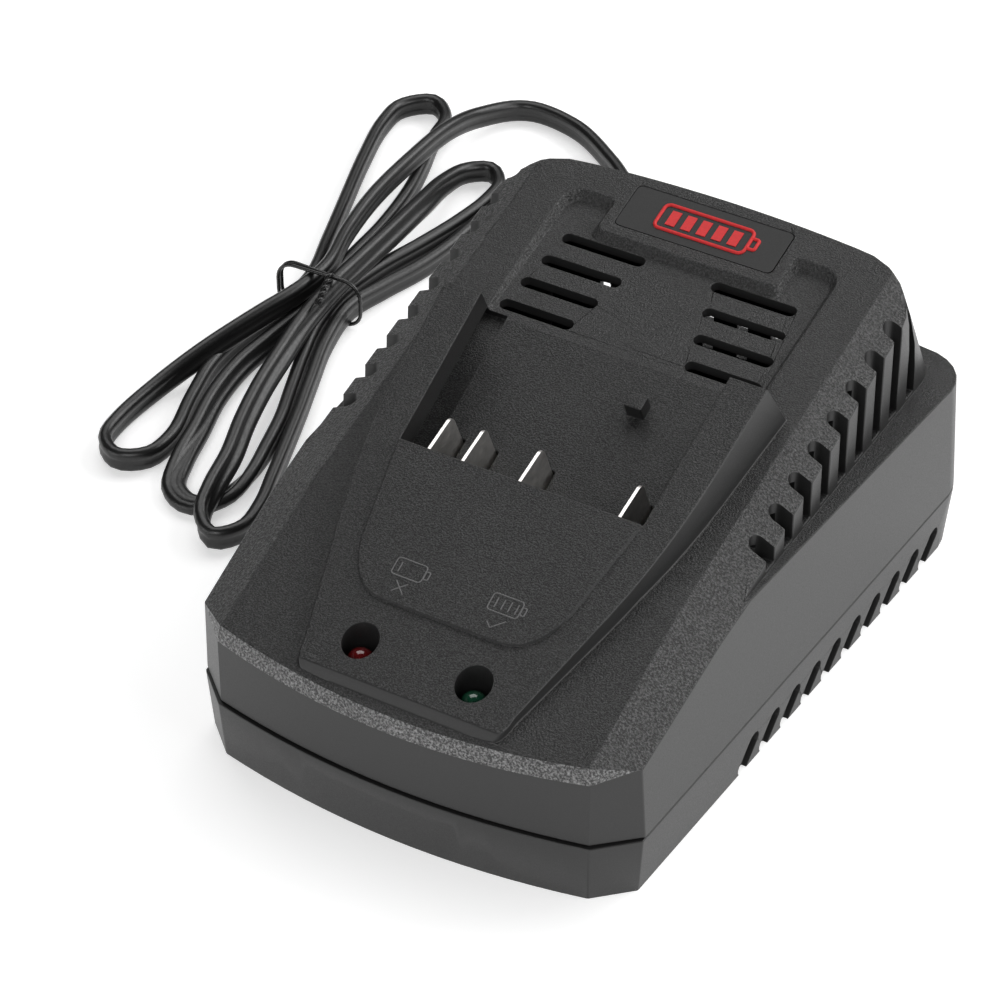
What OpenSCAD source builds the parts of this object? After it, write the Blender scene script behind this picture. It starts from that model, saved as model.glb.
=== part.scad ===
/* [Case] */
// Length from the front bulge to the rear bulge
case_l = 190; // [180:1:205]
// Width across the front corners
front_w = 125; // [120:1:130]
// Width across the rear corners
rear_w = 140; // [136:1:146]
// Height of the line where the two shells meet
parting_z = 18; // [16:0.5:20]
// Wall of both shells
wall = 2.6; // [2.2:0.1:3]
// Height of the front wall in its middle, up to its bevel
front_wall_z = 35.4; // [34:0.1:37]
// Height of the bevel along the front wall
bevel_h = 4.4; // [3.5:0.1:5]
// How far the front wall bows out in its middle
front_bulge = 6.1; // [4:0.1:7]
// Width of the cut corners at the front
corner_cut = 9.8; // [8:0.1:12]
// How far the rear wall bows out in its middle
rear_bulge = 3.8; // [2:0.1:5]
// Radius of the lower rear corners
rear_corner_r = 14; // [10:1:18]
// How much the base tucks in at the floor
base_tuck = 1.4; // [0.8:0.1:2]
// Slope of the front half of the top, degrees
front_slope = 19.6; // [18:0.1:21]
// Slope of the rear half of the top, degrees
rear_slope = 14.3; // [13:0.1:15]
// Distance from the front to the crease between both slopes
crease_y = 51.5; // [48:0.5:56]
// Half width of the flat top between its side facets
facet_x = 51.6; // [50:0.1:53]
// Slope of the side facets, degrees
facet_slope = 25.6; // [22:0.1:28]
// Half width of the raised middle above the ledge
raised_x = 62.4; // [62:0.1:63]
// Distance from the front to the top rear edge
top_rear_y = 172; // [168:0.5:176]
// Height of the ledge where it starts
ledge_z = 56; // [54:0.5:58]
// Distance from the front to where the ledge starts
ledge_y = 66; // [62:1:70]

/* [Side vents] */
// Number of vents in each side facet
vent_count = 9; // [5:1:9]
// Distance from one vent to the next
vent_pitch = 10.3; // [9.5:0.1:10.4]
// Width of a vent
vent_w = 4.6; // [4.2:0.1:5.4]
// Distance from the front to the first vent
vent_y = 79.5; // [78:0.5:82]
// Half width between the round inner ends of the vents
vent_x = 56; // [55:0.1:57]
// Number of scallops in each lower edge
scallop_count = 10; // [6:1:10]
// Width of a scallop
scallop_w = 5; // [4:0.1:6]
// Distance from the front to the first scallop
scallop_y = 68.5; // [66:0.5:72]

/* [Top slots] */
// Number of slots on each side of the top
slot_count = 4; // [3:1:4]
// Distance from one slot to the next
slot_pitch = 8.8; // [8:0.1:9]
// Width of a slot
slot_w = 3.5; // [3:0.1:4]
// Distance from the front to the rearmost slot
slot_y = 147; // [145:0.5:148]
// Slope of the sunk panel that holds the slots, degrees
panel_slope = 12.4; // [12:0.1:13]
// Half width of the sunk panel
panel_x = 38.6; // [38:0.1:40]

/* [Battery dock] */
// Slope of the dock and its rails, degrees
dock_slope = 23.07; // [22.5:0.1:23.5]
// Height of the dock's front edge
dock_front_z = 43.7; // [43.4:0.1:44.4]
// Distance from the front to the dock's front edge
dock_front_y = 6.2; // [6:0.1:7.5]
// Half width of the dock just behind its front corners
dock_front_x = 29.4; // [28:0.1:31]
// Half width across the outer rail faces at the rear
dock_rear_x = 46.7; // [46.4:0.1:47.5]
// Distance from the front to the rail's rear end
rail_rear_y = 107; // [105:0.5:108]
// Distance from the front to the step behind the panel
step_y = 64.6; // [63:0.5:66]
// Half of the gap between the rail lips at the step
lip_x = 34.3; // [33.5:0.1:35]
// Thickness of the rail lips
lip_t = 7.6; // [7:0.1:8]
// Half width across the channels under the lips
channel_x = 41.5; // [41:0.1:42]
// Depth of the well below the dock's face
well_depth = 15.8; // [15:0.1:16.5]
// Height of the raised shield panel
shield_h = 0.8; // [0.5:0.1:1.2]

/* [Contacts and lamps] */
// Thickness of a contact blade
blade_t = 0.8; // [0.6:0.1:1]
// Length of a contact blade along the slope
blade_l = 12; // [11:0.1:12.4]
// Height of a contact blade above the well floor
blade_h = 12.3; // [11.5:0.1:13]
// Diameter of the lamp holes
lamp_hole_d = 9.4; // [9:0.1:9.8]
// Diameter of the lamps
lamp_d = 7.2; // [6.6:0.1:7.8]
// Half of the distance between the lamps
lamp_x = 15.9; // [15:0.1:17]
// Distance from the front to the lamps
lamp_y = 15; // [14.5:0.1:15.5]

/* [Label] */
// Length of the label plate
label_w = 45.6; // [44:0.1:47]
// Depth of the label plate
label_d = 14.6; // [14:0.1:15]
// Thickness of the label plate
label_t = 0.6; // [0.5:0.1:0.8]

/* [Board] */
// Width of the circuit board
board_w = 96; // [92:1:100]
// Length of the circuit board
board_l = 128; // [124:1:132]
// Thickness of the circuit board
board_t = 1.6; // [1.2:0.2:2]
// Height of the circuit board's underside
board_z = 11; // [10:0.5:12]
// Distance from the front to the circuit board
board_y = 26; // [24:1:28]

/* [Cord] */
// Width of the flat two-core cord
cord_w = 7; // [6.6:0.1:7.4]
// Thickness of the flat two-core cord
cord_t = 3.8; // [3.6:0.1:4]
// Length of the moulded strain relief outside the case
relief_l = 26; // [22:1:28]

/* [Hidden] */

$fn = 48;
// Running clearance between pieces that sit in each other
fit = 0.2;
// Overlap that keeps cuts clear of the faces they open
over = 1;
// Edge length of the blocks that cut away everything above a plane
beyond = 400;
// Points along each half of a bowed wall and along a rounded corner
bow_steps = 8;
corner_steps = 6;

// ---- case outline ----
// The front bow and the rear bow are shallow parabolas; a small flare widens the case rearwards.
front_x = front_w / 2 - corner_cut;
front_bow = front_bulge / (front_x * front_x);
corner_rise = corner_cut * 0.94;
corner_y = front_bulge + corner_rise;
corner_slant = corner_rise / corner_cut;
rear_x = rear_w / 2 - rear_corner_r;
rear_bow = rear_bulge / (rear_x * rear_x);
flare = (rear_w - front_w) / 2 / (case_l - rear_bulge - rear_corner_r - corner_y);

// Where the cut corner, moved in by d, meets the bow
function cut_x(d) = let (q = sqrt(1 + pow(corner_slant, 2)),
        c = corner_slant * front_w / 2 - corner_y - d * (q - 1))
    (corner_slant - sqrt(pow(corner_slant, 2) - 4 * front_bow * c)) / (2 * front_bow);

// Right half of the outline, from the front middle to the rear middle;
// f, s and r move the front, the sides and the rear in, and g is the rear corner's radius
function half_outline(f, s, r, g) =
    let (cx = cut_x(f),
        side_y = corner_y - corner_slant * s + f * sqrt(1 + pow(corner_slant, 2)),
        rear_half = rear_w / 2 - s,
        arc_x = rear_half - g,
        arc_y = case_l - r - rear_bow * arc_x * arc_x - g)
    concat(
        [for (i = [0 : bow_steps]) let (x = cx * i / bow_steps) [x, f + front_bow * x * x]],
        [[front_w / 2 - s + flare * (side_y - corner_y), side_y]],
        [for (i = [0 : corner_steps]) let (a = 90 * i / corner_steps)
            [arc_x + g * cos(a), arc_y + g * sin(a)]],
        [for (i = [bow_steps - 1 : -1 : 0]) let (x = arc_x * i / bow_steps)
            [x, case_l - r - rear_bow * x * x]]);

// Whole outline of a half given from the front middle to the rear middle
function both_sides(half) = concat(half,
    [for (i = [len(half) - 2 : -1 : 1]) [-half[i][0], half[i][1]]]);

function outline(f, s, r, g = rear_corner_r) = both_sides(half_outline(f, s, r, g));

// Solid through a stack of rings, each [outline, height, rise]: the outlines have as many points
// each, and a ring's rise is how much it climbs for each step rearwards
module stack(rings) {
    n = len(rings[0][0]);
    m = len(rings);
    polyhedron(
        points = [for (r = rings) for (p = r[0]) [p[0], p[1], r[1] + r[2] * p[1]]],
        faces = concat([[for (i = [0 : n - 1]) i]], [[for (i = [n - 1 : -1 : 0]) (m - 1) * n + i]],
            [for (k = [0 : m - 2]) for (i = [0 : n - 1])
                [k * n + i, (k + 1) * n + i, (k + 1) * n + (i + 1) % n, k * n + (i + 1) % n]]));
}
// Solid between two level outlines
module loft(low, low_z, high, high_z) {
    stack([[low, low_z, 0], [high, high_z, 0]]);
}

// ---- sloped faces ----
front_rise = tan(front_slope);
// How far the upper shell's front wall stands back from the outline
skirt_tuck = 0.8;
crease_z = front_wall_z + bevel_h + front_rise * (crease_y - skirt_tuck);
function top_z(y) = y < crease_y ? crease_z - front_rise * (crease_y - y)
    : crease_z + tan(rear_slope) * (y - crease_y);
case_h = top_z(top_rear_y);

// Everything above a plane through [y, z] that rises rearwards by "slope" degrees
module above(y, z, slope) {
    translate([0, y, z]) rotate([slope, 0, 0])
        translate([-beyond / 2, -beyond / 2, 0]) cube([beyond, beyond, beyond / 2]);
}

// Everything above the side facet on the right, which falls outwards from the flat top
module above_facet(slope, drop) {
    lean = atan(tan(facet_slope) * cos(slope));
    translate([facet_x, crease_y, crease_z - drop]) rotate([slope, 0, 0]) rotate([0, lean, 0])
        translate([-beyond / 2, -beyond / 2, 0]) cube([beyond, beyond, beyond / 2]);
}

// Everything above the top, lowered by "drop"
module above_top(drop) {
    above(crease_y, crease_z - drop, front_slope);
    above(crease_y, crease_z - drop, rear_slope);
    for (side = [0, 1]) mirror([side, 0, 0]) {
        above_facet(front_slope, drop);
        above_facet(rear_slope, drop);
    }
}

// Everything behind the front wall and its steep bevel, which keeps its width round the cut
// corners and rises with the top; it is moved in by "drop"
bevel_lean = 0.22;
bevel_reach = 60;
bevel_beyond = -20;
module bevel_keep(drop) {
    wall_line = outline(skirt_tuck + drop, bevel_beyond, bevel_beyond);
    lean_line = outline(skirt_tuck + drop + bevel_lean * bevel_reach, bevel_beyond, bevel_beyond);
    edge_z = front_wall_z - front_rise * skirt_tuck;
    stack([[wall_line, parting_z - 2 * over, 0], [wall_line, edge_z, front_rise],
        [lean_line, edge_z + bevel_reach, front_rise]]);
}

// Lower part of the case above the parting line, with walls that lean in a little
skirt_top_z = 62;
skirt_lean = 0.04;
module skirt_block(d, low_z) {
    lean = skirt_lean * (skirt_top_z - parting_z);
    loft(outline(d, d, d), low_z, outline(d + lean * 0.6, d + lean, d + lean), skirt_top_z);
}

// Raised middle of the case, which narrows rearwards and ends in a sloped rear wall
raised_top_z = 96;
raised_rear_y = 184;
raised_front = 4;
raised_foot_r = 12;
raised_top_r = 23;
raised_narrow = 0.016;
raised_tuck = 1.2;
raised_rear_lean = (raised_rear_y - top_rear_y) / (case_h - ledge_z);
// Outline with its rear at "rear", its sides moved in by s and its front by d; g rounds its rear
function raised_outline(d, rear, s, g) = both_sides(
    let (half = raised_x - s - raised_narrow * (rear - ledge_y), ax = half - g,
        ay = rear - rear_bow * ax * ax - g)
    concat([[0, raised_front + d], [front_x, corner_y + d]],
        [[raised_x - raised_tuck - s, corner_y + 6 + d], [raised_x - s, ledge_y - 4]],
        [for (i = [0 : corner_steps]) let (a = 90 * i / corner_steps) [ax + g * cos(a), ay + g * sin(a)]],
        [for (i = [bow_steps - 1 : -1 : 0]) let (x = ax * i / bow_steps) [x, rear - rear_bow * x * x]]));
module raised_block(d, s, low_z) {
    foot_z = ledge_z - 6;
    foot_y = raised_rear_y + raised_rear_lean * (ledge_z - foot_z) - d;
    high_y = raised_rear_y - raised_rear_lean * (raised_top_z - ledge_z) - d;
    foot_r = raised_foot_r - d * 0.4;
    base = raised_outline(d, foot_y - 4, s, foot_r);
    loft(base, low_z, base, foot_z + over);
    loft(raised_outline(d, foot_y, s, foot_r), foot_z,
        raised_outline(d, high_y, s + 0.6, raised_top_r - d * 0.4), raised_top_z);
}

ledge_fall = 1.7;
module above_ledge(drop) {
    above(ledge_y, ledge_z - drop, -ledge_fall);
}

// ---- battery dock ----
function dock_z(y) = dock_front_z + tan(dock_slope) * (y - dock_front_y);
step_z = dock_z(step_y);
// Frame on the dock's face: X across, Y up the slope from the step, Z out of the face
module on_dock() {
    translate([0, step_y, step_z]) rotate([dock_slope, 0, 0]) children();
}
function along_dock(y) = (y - step_y) / cos(dock_slope);
rail_l = along_dock(rail_rear_y);
well_l = along_dock(120);
lip_flare = 1.1;
floor_z = -well_depth;
channel_drop = 2;
rail_back_lean = 63;

function arc_between(a, b, c, n) = [for (i = [0 : n]) let (t = i / n)
    a * pow(1 - t, 2) + b * 2 * t * (1 - t) + c * t * t];
// The dock's sides flare quickly up to a soft bend beside the step, and slowly from there
dock_bend = [43.6, 61];
dock_corner = [dock_front_x, dock_front_y + 5];
dock_corner_w = 4.4;
dock_foot = 1.7;
dock_front_lean = 55;
dock_draft = 0.13;
dock_end = [dock_rear_x, rail_rear_y + 12];
// Outline of the dock, moved in by d, with its sides moved in by s more
function dock_outline(d, s) = both_sides(concat(
    [[0, dock_front_y - dock_foot - 0.5 + d]],
    arc_between([dock_front_x - dock_corner_w - d - s, dock_front_y - dock_foot + d],
        [dock_front_x - 0.4 - d - s, dock_front_y - dock_foot + d],
        [dock_corner[0] - d - s, dock_corner[1]], corner_steps),
    [for (p = arc_between((dock_corner * 2 + dock_bend * 3) / 5, dock_bend,
        (dock_bend * 3 + dock_end * 2) / 5, corner_steps)) [p[0] - d - s, p[1]]],
    [[dock_end[0] - d - s, dock_end[1]], [0, dock_end[1] + over]]));

// Its sides lean in by the draft, measured from the sloped face
module dock_block(d) {
    low = dock_z(dock_front_y) - parting_z - over;
    high = 6;
    rise = tan(dock_slope);
    level = dock_z(0);
    difference() {
        stack([[dock_outline(d, -low * dock_draft), level - low, rise],
            [dock_outline(d, high * dock_draft), level + high, rise]]);
        above(dock_front_y, dock_front_z - d / cos(dock_slope), dock_slope);
        above(dock_front_y + d, dock_front_z - d, dock_front_lean);
        translate([0, rail_rear_y, dock_z(rail_rear_y)]) rotate([-rail_back_lean, 0, 0])
            translate([-beyond / 2, 0, 0]) cube([beyond, beyond, beyond]);
    }
}

// The well between the rails, grown by g for the skin below and around it
module well_space(g) {
    on_dock() translate([0, 0, floor_z - g]) linear_extrude(60) polygon([
        [-lip_x - g, -g], [lip_x + g, -g],
        [lip_x + lip_flare + g, rail_l], [lip_x + lip_flare + g, well_l],
        [-lip_x - lip_flare - g, well_l], [-lip_x - lip_flare - g, rail_l]]);
}

// The channels under the lips, open to the well and at the rear
channel_h = well_depth + channel_drop - lip_t;
channel_past = 4;
channel_l = rail_l + channel_past;
module channel_space(g) {
    on_dock() for (side = [0, 1]) mirror([side, 0, 0])
        translate([lip_x - over, -g, -lip_t - channel_h - g])
            cube([channel_x - lip_x + over + g, channel_l + 2 * g, channel_h + g]);
}

// Slots in the well floor that the contact blades stand in
blade_xs = [-27, -17.3, -1, 27];
blade_start = 0.6;
blade_gap = 0.5;
module blade_slots() {
    on_dock() for (x = blade_xs)
        translate([x - blade_t / 2 - blade_gap, blade_start - blade_gap, floor_z - wall - 2 * over])
            cube([blade_t + 2 * blade_gap, blade_l + 2 * blade_gap, wall + 3 * over]);
}

// Peg on the well floor that keys the battery
peg_w = 5;
peg_l = 4.4;
peg_h = 4.8;
peg_x = 9.2;
peg_y = 34.6;
module peg() {
    on_dock() translate([peg_x, peg_y, floor_z - over]) cube([peg_w, peg_l, peg_h + over]);
}

// Shield panel with a narrow rounded front, raised on the dock in front of the step
shield_front_y = 26;
shield_front_x = 16;
shield_side_y = 38.3;
shield_side_x = 29.5;
module shield_panel() {
    y0 = along_dock(shield_front_y);
    y1 = along_dock(shield_side_y);
    on_dock() translate([0, 0, -over]) linear_extrude(shield_h + over) polygon(both_sides(concat(
        [[0, y0]],
        arc_between([shield_front_x, y0], [shield_front_x + 10, y0], [shield_side_x, y1], corner_steps),
        [[lip_x, 0], [0, 0]])));
}

// ---- top panel, label and slots ----
panel_z = top_z(slot_y) - 2.1;
panel_rear_y = 160;
panel_corner_r = 4;
panel_draft = 0.6;
panel_cut_h = 4;
boss_x = 27.5;
boss_front_y = 149.5;
boss_corner = 2;
middle_bow = 0.5;
// Outline of the sunk panel grown by g, with the label's boss standing into its rear edge; its
// middle bows a little both at the front and at the boss
function panel_outline(g) = both_sides(concat(
    [[0, rail_rear_y - middle_bow], [panel_x + g, rail_rear_y]],
    [for (i = [0 : corner_steps]) let (a = 90 * i / corner_steps)
        [panel_x - panel_corner_r + (panel_corner_r + g) * cos(a),
            panel_rear_y - panel_corner_r + (panel_corner_r + g) * sin(a)]],
    arc_between([boss_x - g + boss_corner, panel_rear_y + g], [boss_x - g, panel_rear_y + g],
        [boss_x - g, panel_rear_y + g - boss_corner], 3),
    arc_between([boss_x - g, boss_front_y + g + boss_corner], [boss_x - g, boss_front_y + g],
        [boss_x - g - boss_corner, boss_front_y + g], 3),
    [[0, boss_front_y + g - middle_bow]]));
// The panel is sunk with sides that widen towards the top
module slot_panel_cut() {
    rise = tan(panel_slope);
    level = panel_z - rise * slot_y;
    intersection() {
        stack([[panel_outline(-over * panel_draft), level - over, rise],
            [panel_outline(panel_cut_h * panel_draft), level + panel_cut_h, rise]]);
        above(slot_y, panel_z, panel_slope);
    }
}

// Long hole with round ends from [x0, y] to [x1, y]
module long_hole(x0, x1, w, h) {
    translate([x0 + w / 2, -w / 2, 0]) cube([x1 - x0 - w, w, h]);
    for (x = [x0 + w / 2, x1 - w / 2]) translate([x, 0, 0]) cylinder(d = w, h = h);
}
slot_in_x = 9.8;
slot_out_x = 34;
slot_in_step = 2.15;
slot_out_step = 1.2;
module top_slots() {
    for (side = [0, 1]) mirror([side, 0, 0]) for (i = [0 : slot_count - 1])
        translate([0, slot_y - i * slot_pitch, ledge_z])
            long_hole(slot_in_x + i * slot_in_step, slot_out_x + i * slot_out_step, slot_w, 60);
}

label_y = 161.2;
module label_pocket() {
    translate([0, label_y, top_z(label_y)]) rotate([rear_slope, 0, 0])
        translate([0, 0, -label_t]) linear_extrude(10) label_shape(fit);
}
label_r = 1.6;
module label_shape(g) {
    w = label_w / 2 + g - label_r;
    d = label_d / 2 + g - label_r;
    for (x = [-w, w]) for (y = [-d, d]) translate([x, y]) circle(label_r);
    square([2 * w, label_d + 2 * g], center = true);
    square([label_w + 2 * g, 2 * d], center = true);
}

// ---- vents ----
// Pockets between the teeth of each side facet, with a slit into the case in each
function ledge_at(y) = ledge_z - tan(ledge_fall) * (y - ledge_y);
function facet_z(x, y) = top_z(y) - tan(facet_slope) * (x - facet_x);
inner_x = vent_x - wall;
slit_w = vent_w - 1;
slit_h = 16;
// The pockets end a little above the ledge, so that a thin lip joins the feet of the teeth
vent_lift = 0.8;
module side_vents() {
    for (side = [0, 1]) mirror([side, 0, 0]) for (i = [0 : vent_count - 1]) {
        y = vent_y + i * vent_pitch;
        translate([0, y, ledge_at(y) + vent_lift]) rotate([-ledge_fall, 0, 0]) {
            translate([vent_x + vent_w / 2, 0, 0]) cylinder(d = vent_w, h = 60);
            translate([vent_x + vent_w / 2, -vent_w / 2, 0]) cube([20, vent_w, 60]);
            translate([inner_x - 2 * over, -slit_w / 2, wall])
                cube([wall + 3 * over, slit_w, min(slit_h, facet_z(vent_x, y) - ledge_at(y) - 2.4 * wall)]);
        }
    }
}

// Rows of small square holes in the rear wall
rear_hole = 3.2;
rear_hole_pitch = 10.3;
rear_hole_rows = 3;
rear_hole_z = 27;
rear_hole_rise = 9.2;
module rear_vents() {
    for (i = [-4 : 4]) for (j = [0 : rear_hole_rows - 1])
        translate([i * rear_hole_pitch - rear_hole / 2, case_l - 30, rear_hole_z + j * rear_hole_rise])
            cube([rear_hole, 60, rear_hole]);
}

// Slanted scallops in the lower edge of the base
scallop_z = 4.6;
scallop_reach = 6;
scallop_slant = 35;
scallop_depth = 1.8;
scallop_pitch = vent_pitch * 1.03;
module scallops() {
    lean = base_tuck * (1 - scallop_z / parting_z);
    for (side = [0, 1]) mirror([side, 0, 0]) for (i = [0 : scallop_count - 1]) {
        y = scallop_y + i * scallop_pitch;
        x = front_w / 2 + flare * (y - corner_y) - lean - scallop_depth;
        translate([x + scallop_w, y, scallop_z]) rotate([0, -90, 0]) rotate([0, 0, scallop_slant])
            long_hole(-scallop_reach, scallop_reach, scallop_w, scallop_w);
    }
}

// ---- what both shells hold ----
board_rear_y = board_y + board_l;
cord_x = 0;
cord_z = 13.2;
relief_w = 8.4;
relief_h = 11.4;
relief_neck_w = 6.6;
relief_neck_h = 9.2;
case_boss_d = 8;
case_screw_d = 3.4;
case_head_d = 5.8;
case_head_h = 2.2;
thread_bite = 0.6;
case_screw_at = [[50, 19.6], [52, 166]];
boss_points = [for (p = case_screw_at) for (side = [-1, 1]) [side * p[0], p[1]]];
board_screw_d = 2.6;
board_head_d = 5;
board_head_h = 1.6;
board_bite = 0.5;
board_edge_x = 5;
board_edge_y = 8;
board_points = [for (y = [board_y + board_edge_y, board_rear_y - board_edge_y]) for (side = [-1, 1])
    [side * (board_w / 2 - board_edge_x), y]];
board_boss_d = 6.4;

module placed() {
    translate([0, -case_l / 2, 0]) children();
}

// Opening in the rear wall that the strain relief's neck sits in
module cord_gate(low_z, high_z) {
    translate([cord_x - relief_neck_w / 2 - fit / 2, case_l - 12, low_z])
        cube([relief_neck_w + fit, 24, high_z - low_z]);
}

module top_shell() {
    color("#2c2c2e") placed() {
        difference() {
            union() {
                case_body(0, 0, 0, parting_z);
                dock_block(0);
            }
            case_cavity();
            well_space(0);
            channel_space(0);
            blade_slots();
            slot_panel_cut();
            top_slots();
            label_pocket();
            side_vents();
            rear_vents();
            for (side = [-1, 1]) translate([side * lamp_x, lamp_y, parting_z])
                cylinder(d = lamp_hole_d, h = 60);
        }
        shield_panel();
        peg();
        top_bosses();
        lamp_posts();
    }
}

// Solid body of the upper case, moved in by d, with its raised sides in by s and its top down by drop
module case_body(d, s, drop, low_z) {
    intersection() {
        difference() {
            union() {
                difference() {
                    skirt_block(d, low_z);
                    above_ledge(d);
                }
                raised_block(d, s, low_z + over / 2);
            }
            above_top(drop);
        }
        bevel_keep(d);
    }
}
// Space inside the top shell
module case_cavity() {
    difference() {
        union() {
            case_body(wall, raised_x - inner_x, wall * 1.1, parting_z - over);
            intersection() {
                dock_block(wall);
                translate([-beyond / 2, 0, 0]) cube([beyond, step_y - wall, beyond]);
            }
        }
        well_space(wall);
        channel_space(wall);
        intersection() {
            above(slot_y, panel_z - wall, panel_slope);
            translate([-panel_x - wall, rail_rear_y, parting_z])
                cube([2 * (panel_x + wall), panel_rear_y + wall - rail_rear_y, 100]);
        }
    }
}

// Screw pillars that reach down to the parting line
module top_bosses() {
    for (p = boss_points) difference() {
        translate([p[0], p[1], parting_z + fit]) cylinder(d = case_boss_d, h = boss_top(p) - parting_z);
        translate([p[0], p[1], parting_z - over]) cylinder(d = case_screw_d - thread_bite, h = 14);
    }
}
function boss_top(p) = min(top_z(p[1]), ledge_at(max(p[1], ledge_y))) - wall;

// Posts under the dock's face that carry the lamp board
lamp_post_x = 7.4;
lamp_post_d = 4;
module lamp_posts() {
    low_z = lamp_board_z + lamp_board_t;
    for (side = [-1, 1]) translate([side * lamp_post_x, lamp_y, low_z])
        cylinder(d = lamp_post_d, h = dock_z(lamp_y) - wall / 2 - low_z);
}

module bottom_shell() {
    color("#222223") placed() {
        difference() {
            loft(outline(base_tuck, base_tuck, base_tuck), 0, outline(0, 0, 0), parting_z - seam);
            loft(outline(base_tuck + wall, base_tuck + wall, base_tuck + wall), wall,
                outline(wall, wall, wall), parting_z + over);
            scallops();
            bottom_slots();
            cord_gate(cord_z - relief_neck_h / 2 - fit / 2, parting_z + over);
            for (p = boss_points) translate([p[0], p[1], -over]) {
                cylinder(d = case_head_d + 3 * fit, h = over + screw_sink);
                cylinder(d = case_screw_d, h = parting_z + 2 * over);
            }
        }
        for (p = boss_points) difference() {
            translate([p[0], p[1], wall / 2]) cylinder(d = case_boss_d + 2, h = parting_z - wall / 2);
            translate([p[0], p[1], -over]) cylinder(d = case_head_d + 3 * fit, h = over + screw_sink);
            translate([p[0], p[1], -over]) cylinder(d = case_screw_d, h = parting_z + 2 * over);
        }
        for (p = board_points) difference() {
            translate([p[0], p[1], wall / 2]) cylinder(d = board_boss_d, h = board_z - wall / 2);
            translate([p[0], p[1], wall]) cylinder(d = board_screw_d - board_bite, h = board_z);
        }
        cord_seat();
        difference() {
            translate([cord_x - relief_neck_w / 2 - wall, case_l - wall - over, wall / 2])
                cube([relief_neck_w + 2 * wall, wall, cord_z - relief_neck_h / 2 - wall / 2 - fit / 2]);
            cord_gate(cord_z - relief_neck_h / 2 - fit / 2, parting_z);
        }
    }
}
// Width of the thin dark groove between the shells
seam = 0.4;
screw_sink = 6;

// Row of slots under the transformer
module bottom_slots() {
    for (side = [-1, 1]) for (i = [0 : 5])
        translate([side * 24, board_y + 60 + i * 9, -over]) long_hole(-16, 16, 3, wall + 2 * over);
}

// Two posts and a seat that hold the cord clamp down
clamp_y = case_l - 22;
clamp_w = 26;
clamp_d = 8;
clamp_t = 3.2;
clamp_screw_x = 9;
clamp_boss_d = 6.4;
module cord_seat() {
    seat_z = cord_z - cord_w / 2 - fit;
    for (side = [-1, 1]) difference() {
        translate([cord_x + side * clamp_screw_x, clamp_y, wall / 2])
            cylinder(d = clamp_boss_d, h = cord_z + cord_w / 2 - wall / 2);
        translate([cord_x + side * clamp_screw_x, clamp_y, wall])
            cylinder(d = board_screw_d - board_bite, h = 20);
    }
    translate([cord_x - cord_t / 2, clamp_y - clamp_d / 2, wall / 2])
        cube([cord_t, clamp_d, seat_z - wall / 2]);
}

module label_plate() {
    color("#3c3c3e") placed()
        translate([0, label_y, top_z(label_y)]) rotate([rear_slope, 0, 0])
            translate([0, 0, -label_t]) linear_extrude(label_t - 0.1) label_shape(0);
}

// ---- lamps ----
lamp_sink = 3.2;
lamp_top_z = dock_z(lamp_y) - lamp_sink;
lamp_h = 8.6;
lamp_flange = 1;
lamp_rim = 0.5;
lamp_flange_d = lamp_d + 2 * lamp_rim;
lamp_board_t = 1.2;
lamp_board_z = lamp_top_z - lamp_h - lamp_board_t;
module lamp() {
    translate([0, 0, lamp_top_z - lamp_h]) {
        cylinder(d = lamp_flange_d, h = lamp_flange);
        cylinder(d = lamp_d, h = lamp_h - lamp_d / 2);
        translate([0, 0, lamp_h - lamp_d / 2]) rotate_extrude()
            intersection() {
                circle(d = lamp_d);
                square(lamp_d);
            }
    }
}
module red_lamp() {
    color("#8e1512") placed() translate([-lamp_x, lamp_y, 0]) lamp();
}
module green_lamp() {
    color("#0f5a33") placed() translate([lamp_x, lamp_y, 0]) lamp();
}
lamp_board_w = 44;
lamp_board_d = 9;
module lamp_board() {
    color("#1e6b3a") placed() translate([-lamp_board_w / 2, lamp_y - lamp_board_d / 2, lamp_board_z])
        cube([lamp_board_w, lamp_board_d, lamp_board_t]);
}
// Flat cable from the lamp board down to the main board
lamp_cable_w = 10;
lamp_cable_t = 0.9;
module lamp_cable() {
    y0 = lamp_y + lamp_board_d / 2;
    color("#9a9a9c") placed() translate([-lamp_cable_w / 2, 0, 0]) {
        translate([0, y0, board_z + board_t]) cube([lamp_cable_w, board_y + 6 - y0, lamp_cable_t]);
        translate([0, y0, board_z + board_t])
            cube([lamp_cable_w, lamp_cable_t, lamp_board_z + lamp_board_t - board_z - board_t]);
    }
}

// ---- contacts ----
block_h = 7;
block_l = 16;
block_x = 31;
module contact_block() {
    color("#d8d4c6") placed() on_dock() difference() {
        translate([-block_x, -0.6, floor_z - wall - fit - block_h]) cube([2 * block_x, block_l, block_h]);
        for (x = blade_xs) translate([x - blade_t / 2, blade_start, floor_z - wall - block_h - over])
            cube([blade_t, blade_l, block_h + 3 * over]);
    }
}
blade_round = 2.6;
blade_tail = 3;
module blade(x) {
    low = floor_z - wall - fit - block_h - blade_tail;
    high = floor_z + blade_h;
    color("#c9c6bd") placed() on_dock() translate([x - blade_t / 2, blade_start, 0])
        rotate([90, 0, 90]) linear_extrude(blade_t) {
            translate([0, low]) square([blade_l, high - blade_round - low]);
            translate([0, high - blade_round - over]) square([blade_l - blade_round, blade_round + over]);
            translate([blade_l - blade_round, high - blade_round]) circle(blade_round);
            polygon([[0, high - over], [blade_l - blade_round, high - over],
                [blade_l - blade_round, high], [0, high + 1.4]]);
        }
}
module negative_blade() { blade(blade_xs[0]); }
module temperature_blade() { blade(blade_xs[1]); }
module coding_blade() { blade(blade_xs[2]); }
module positive_blade() { blade(blade_xs[3]); }

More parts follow.
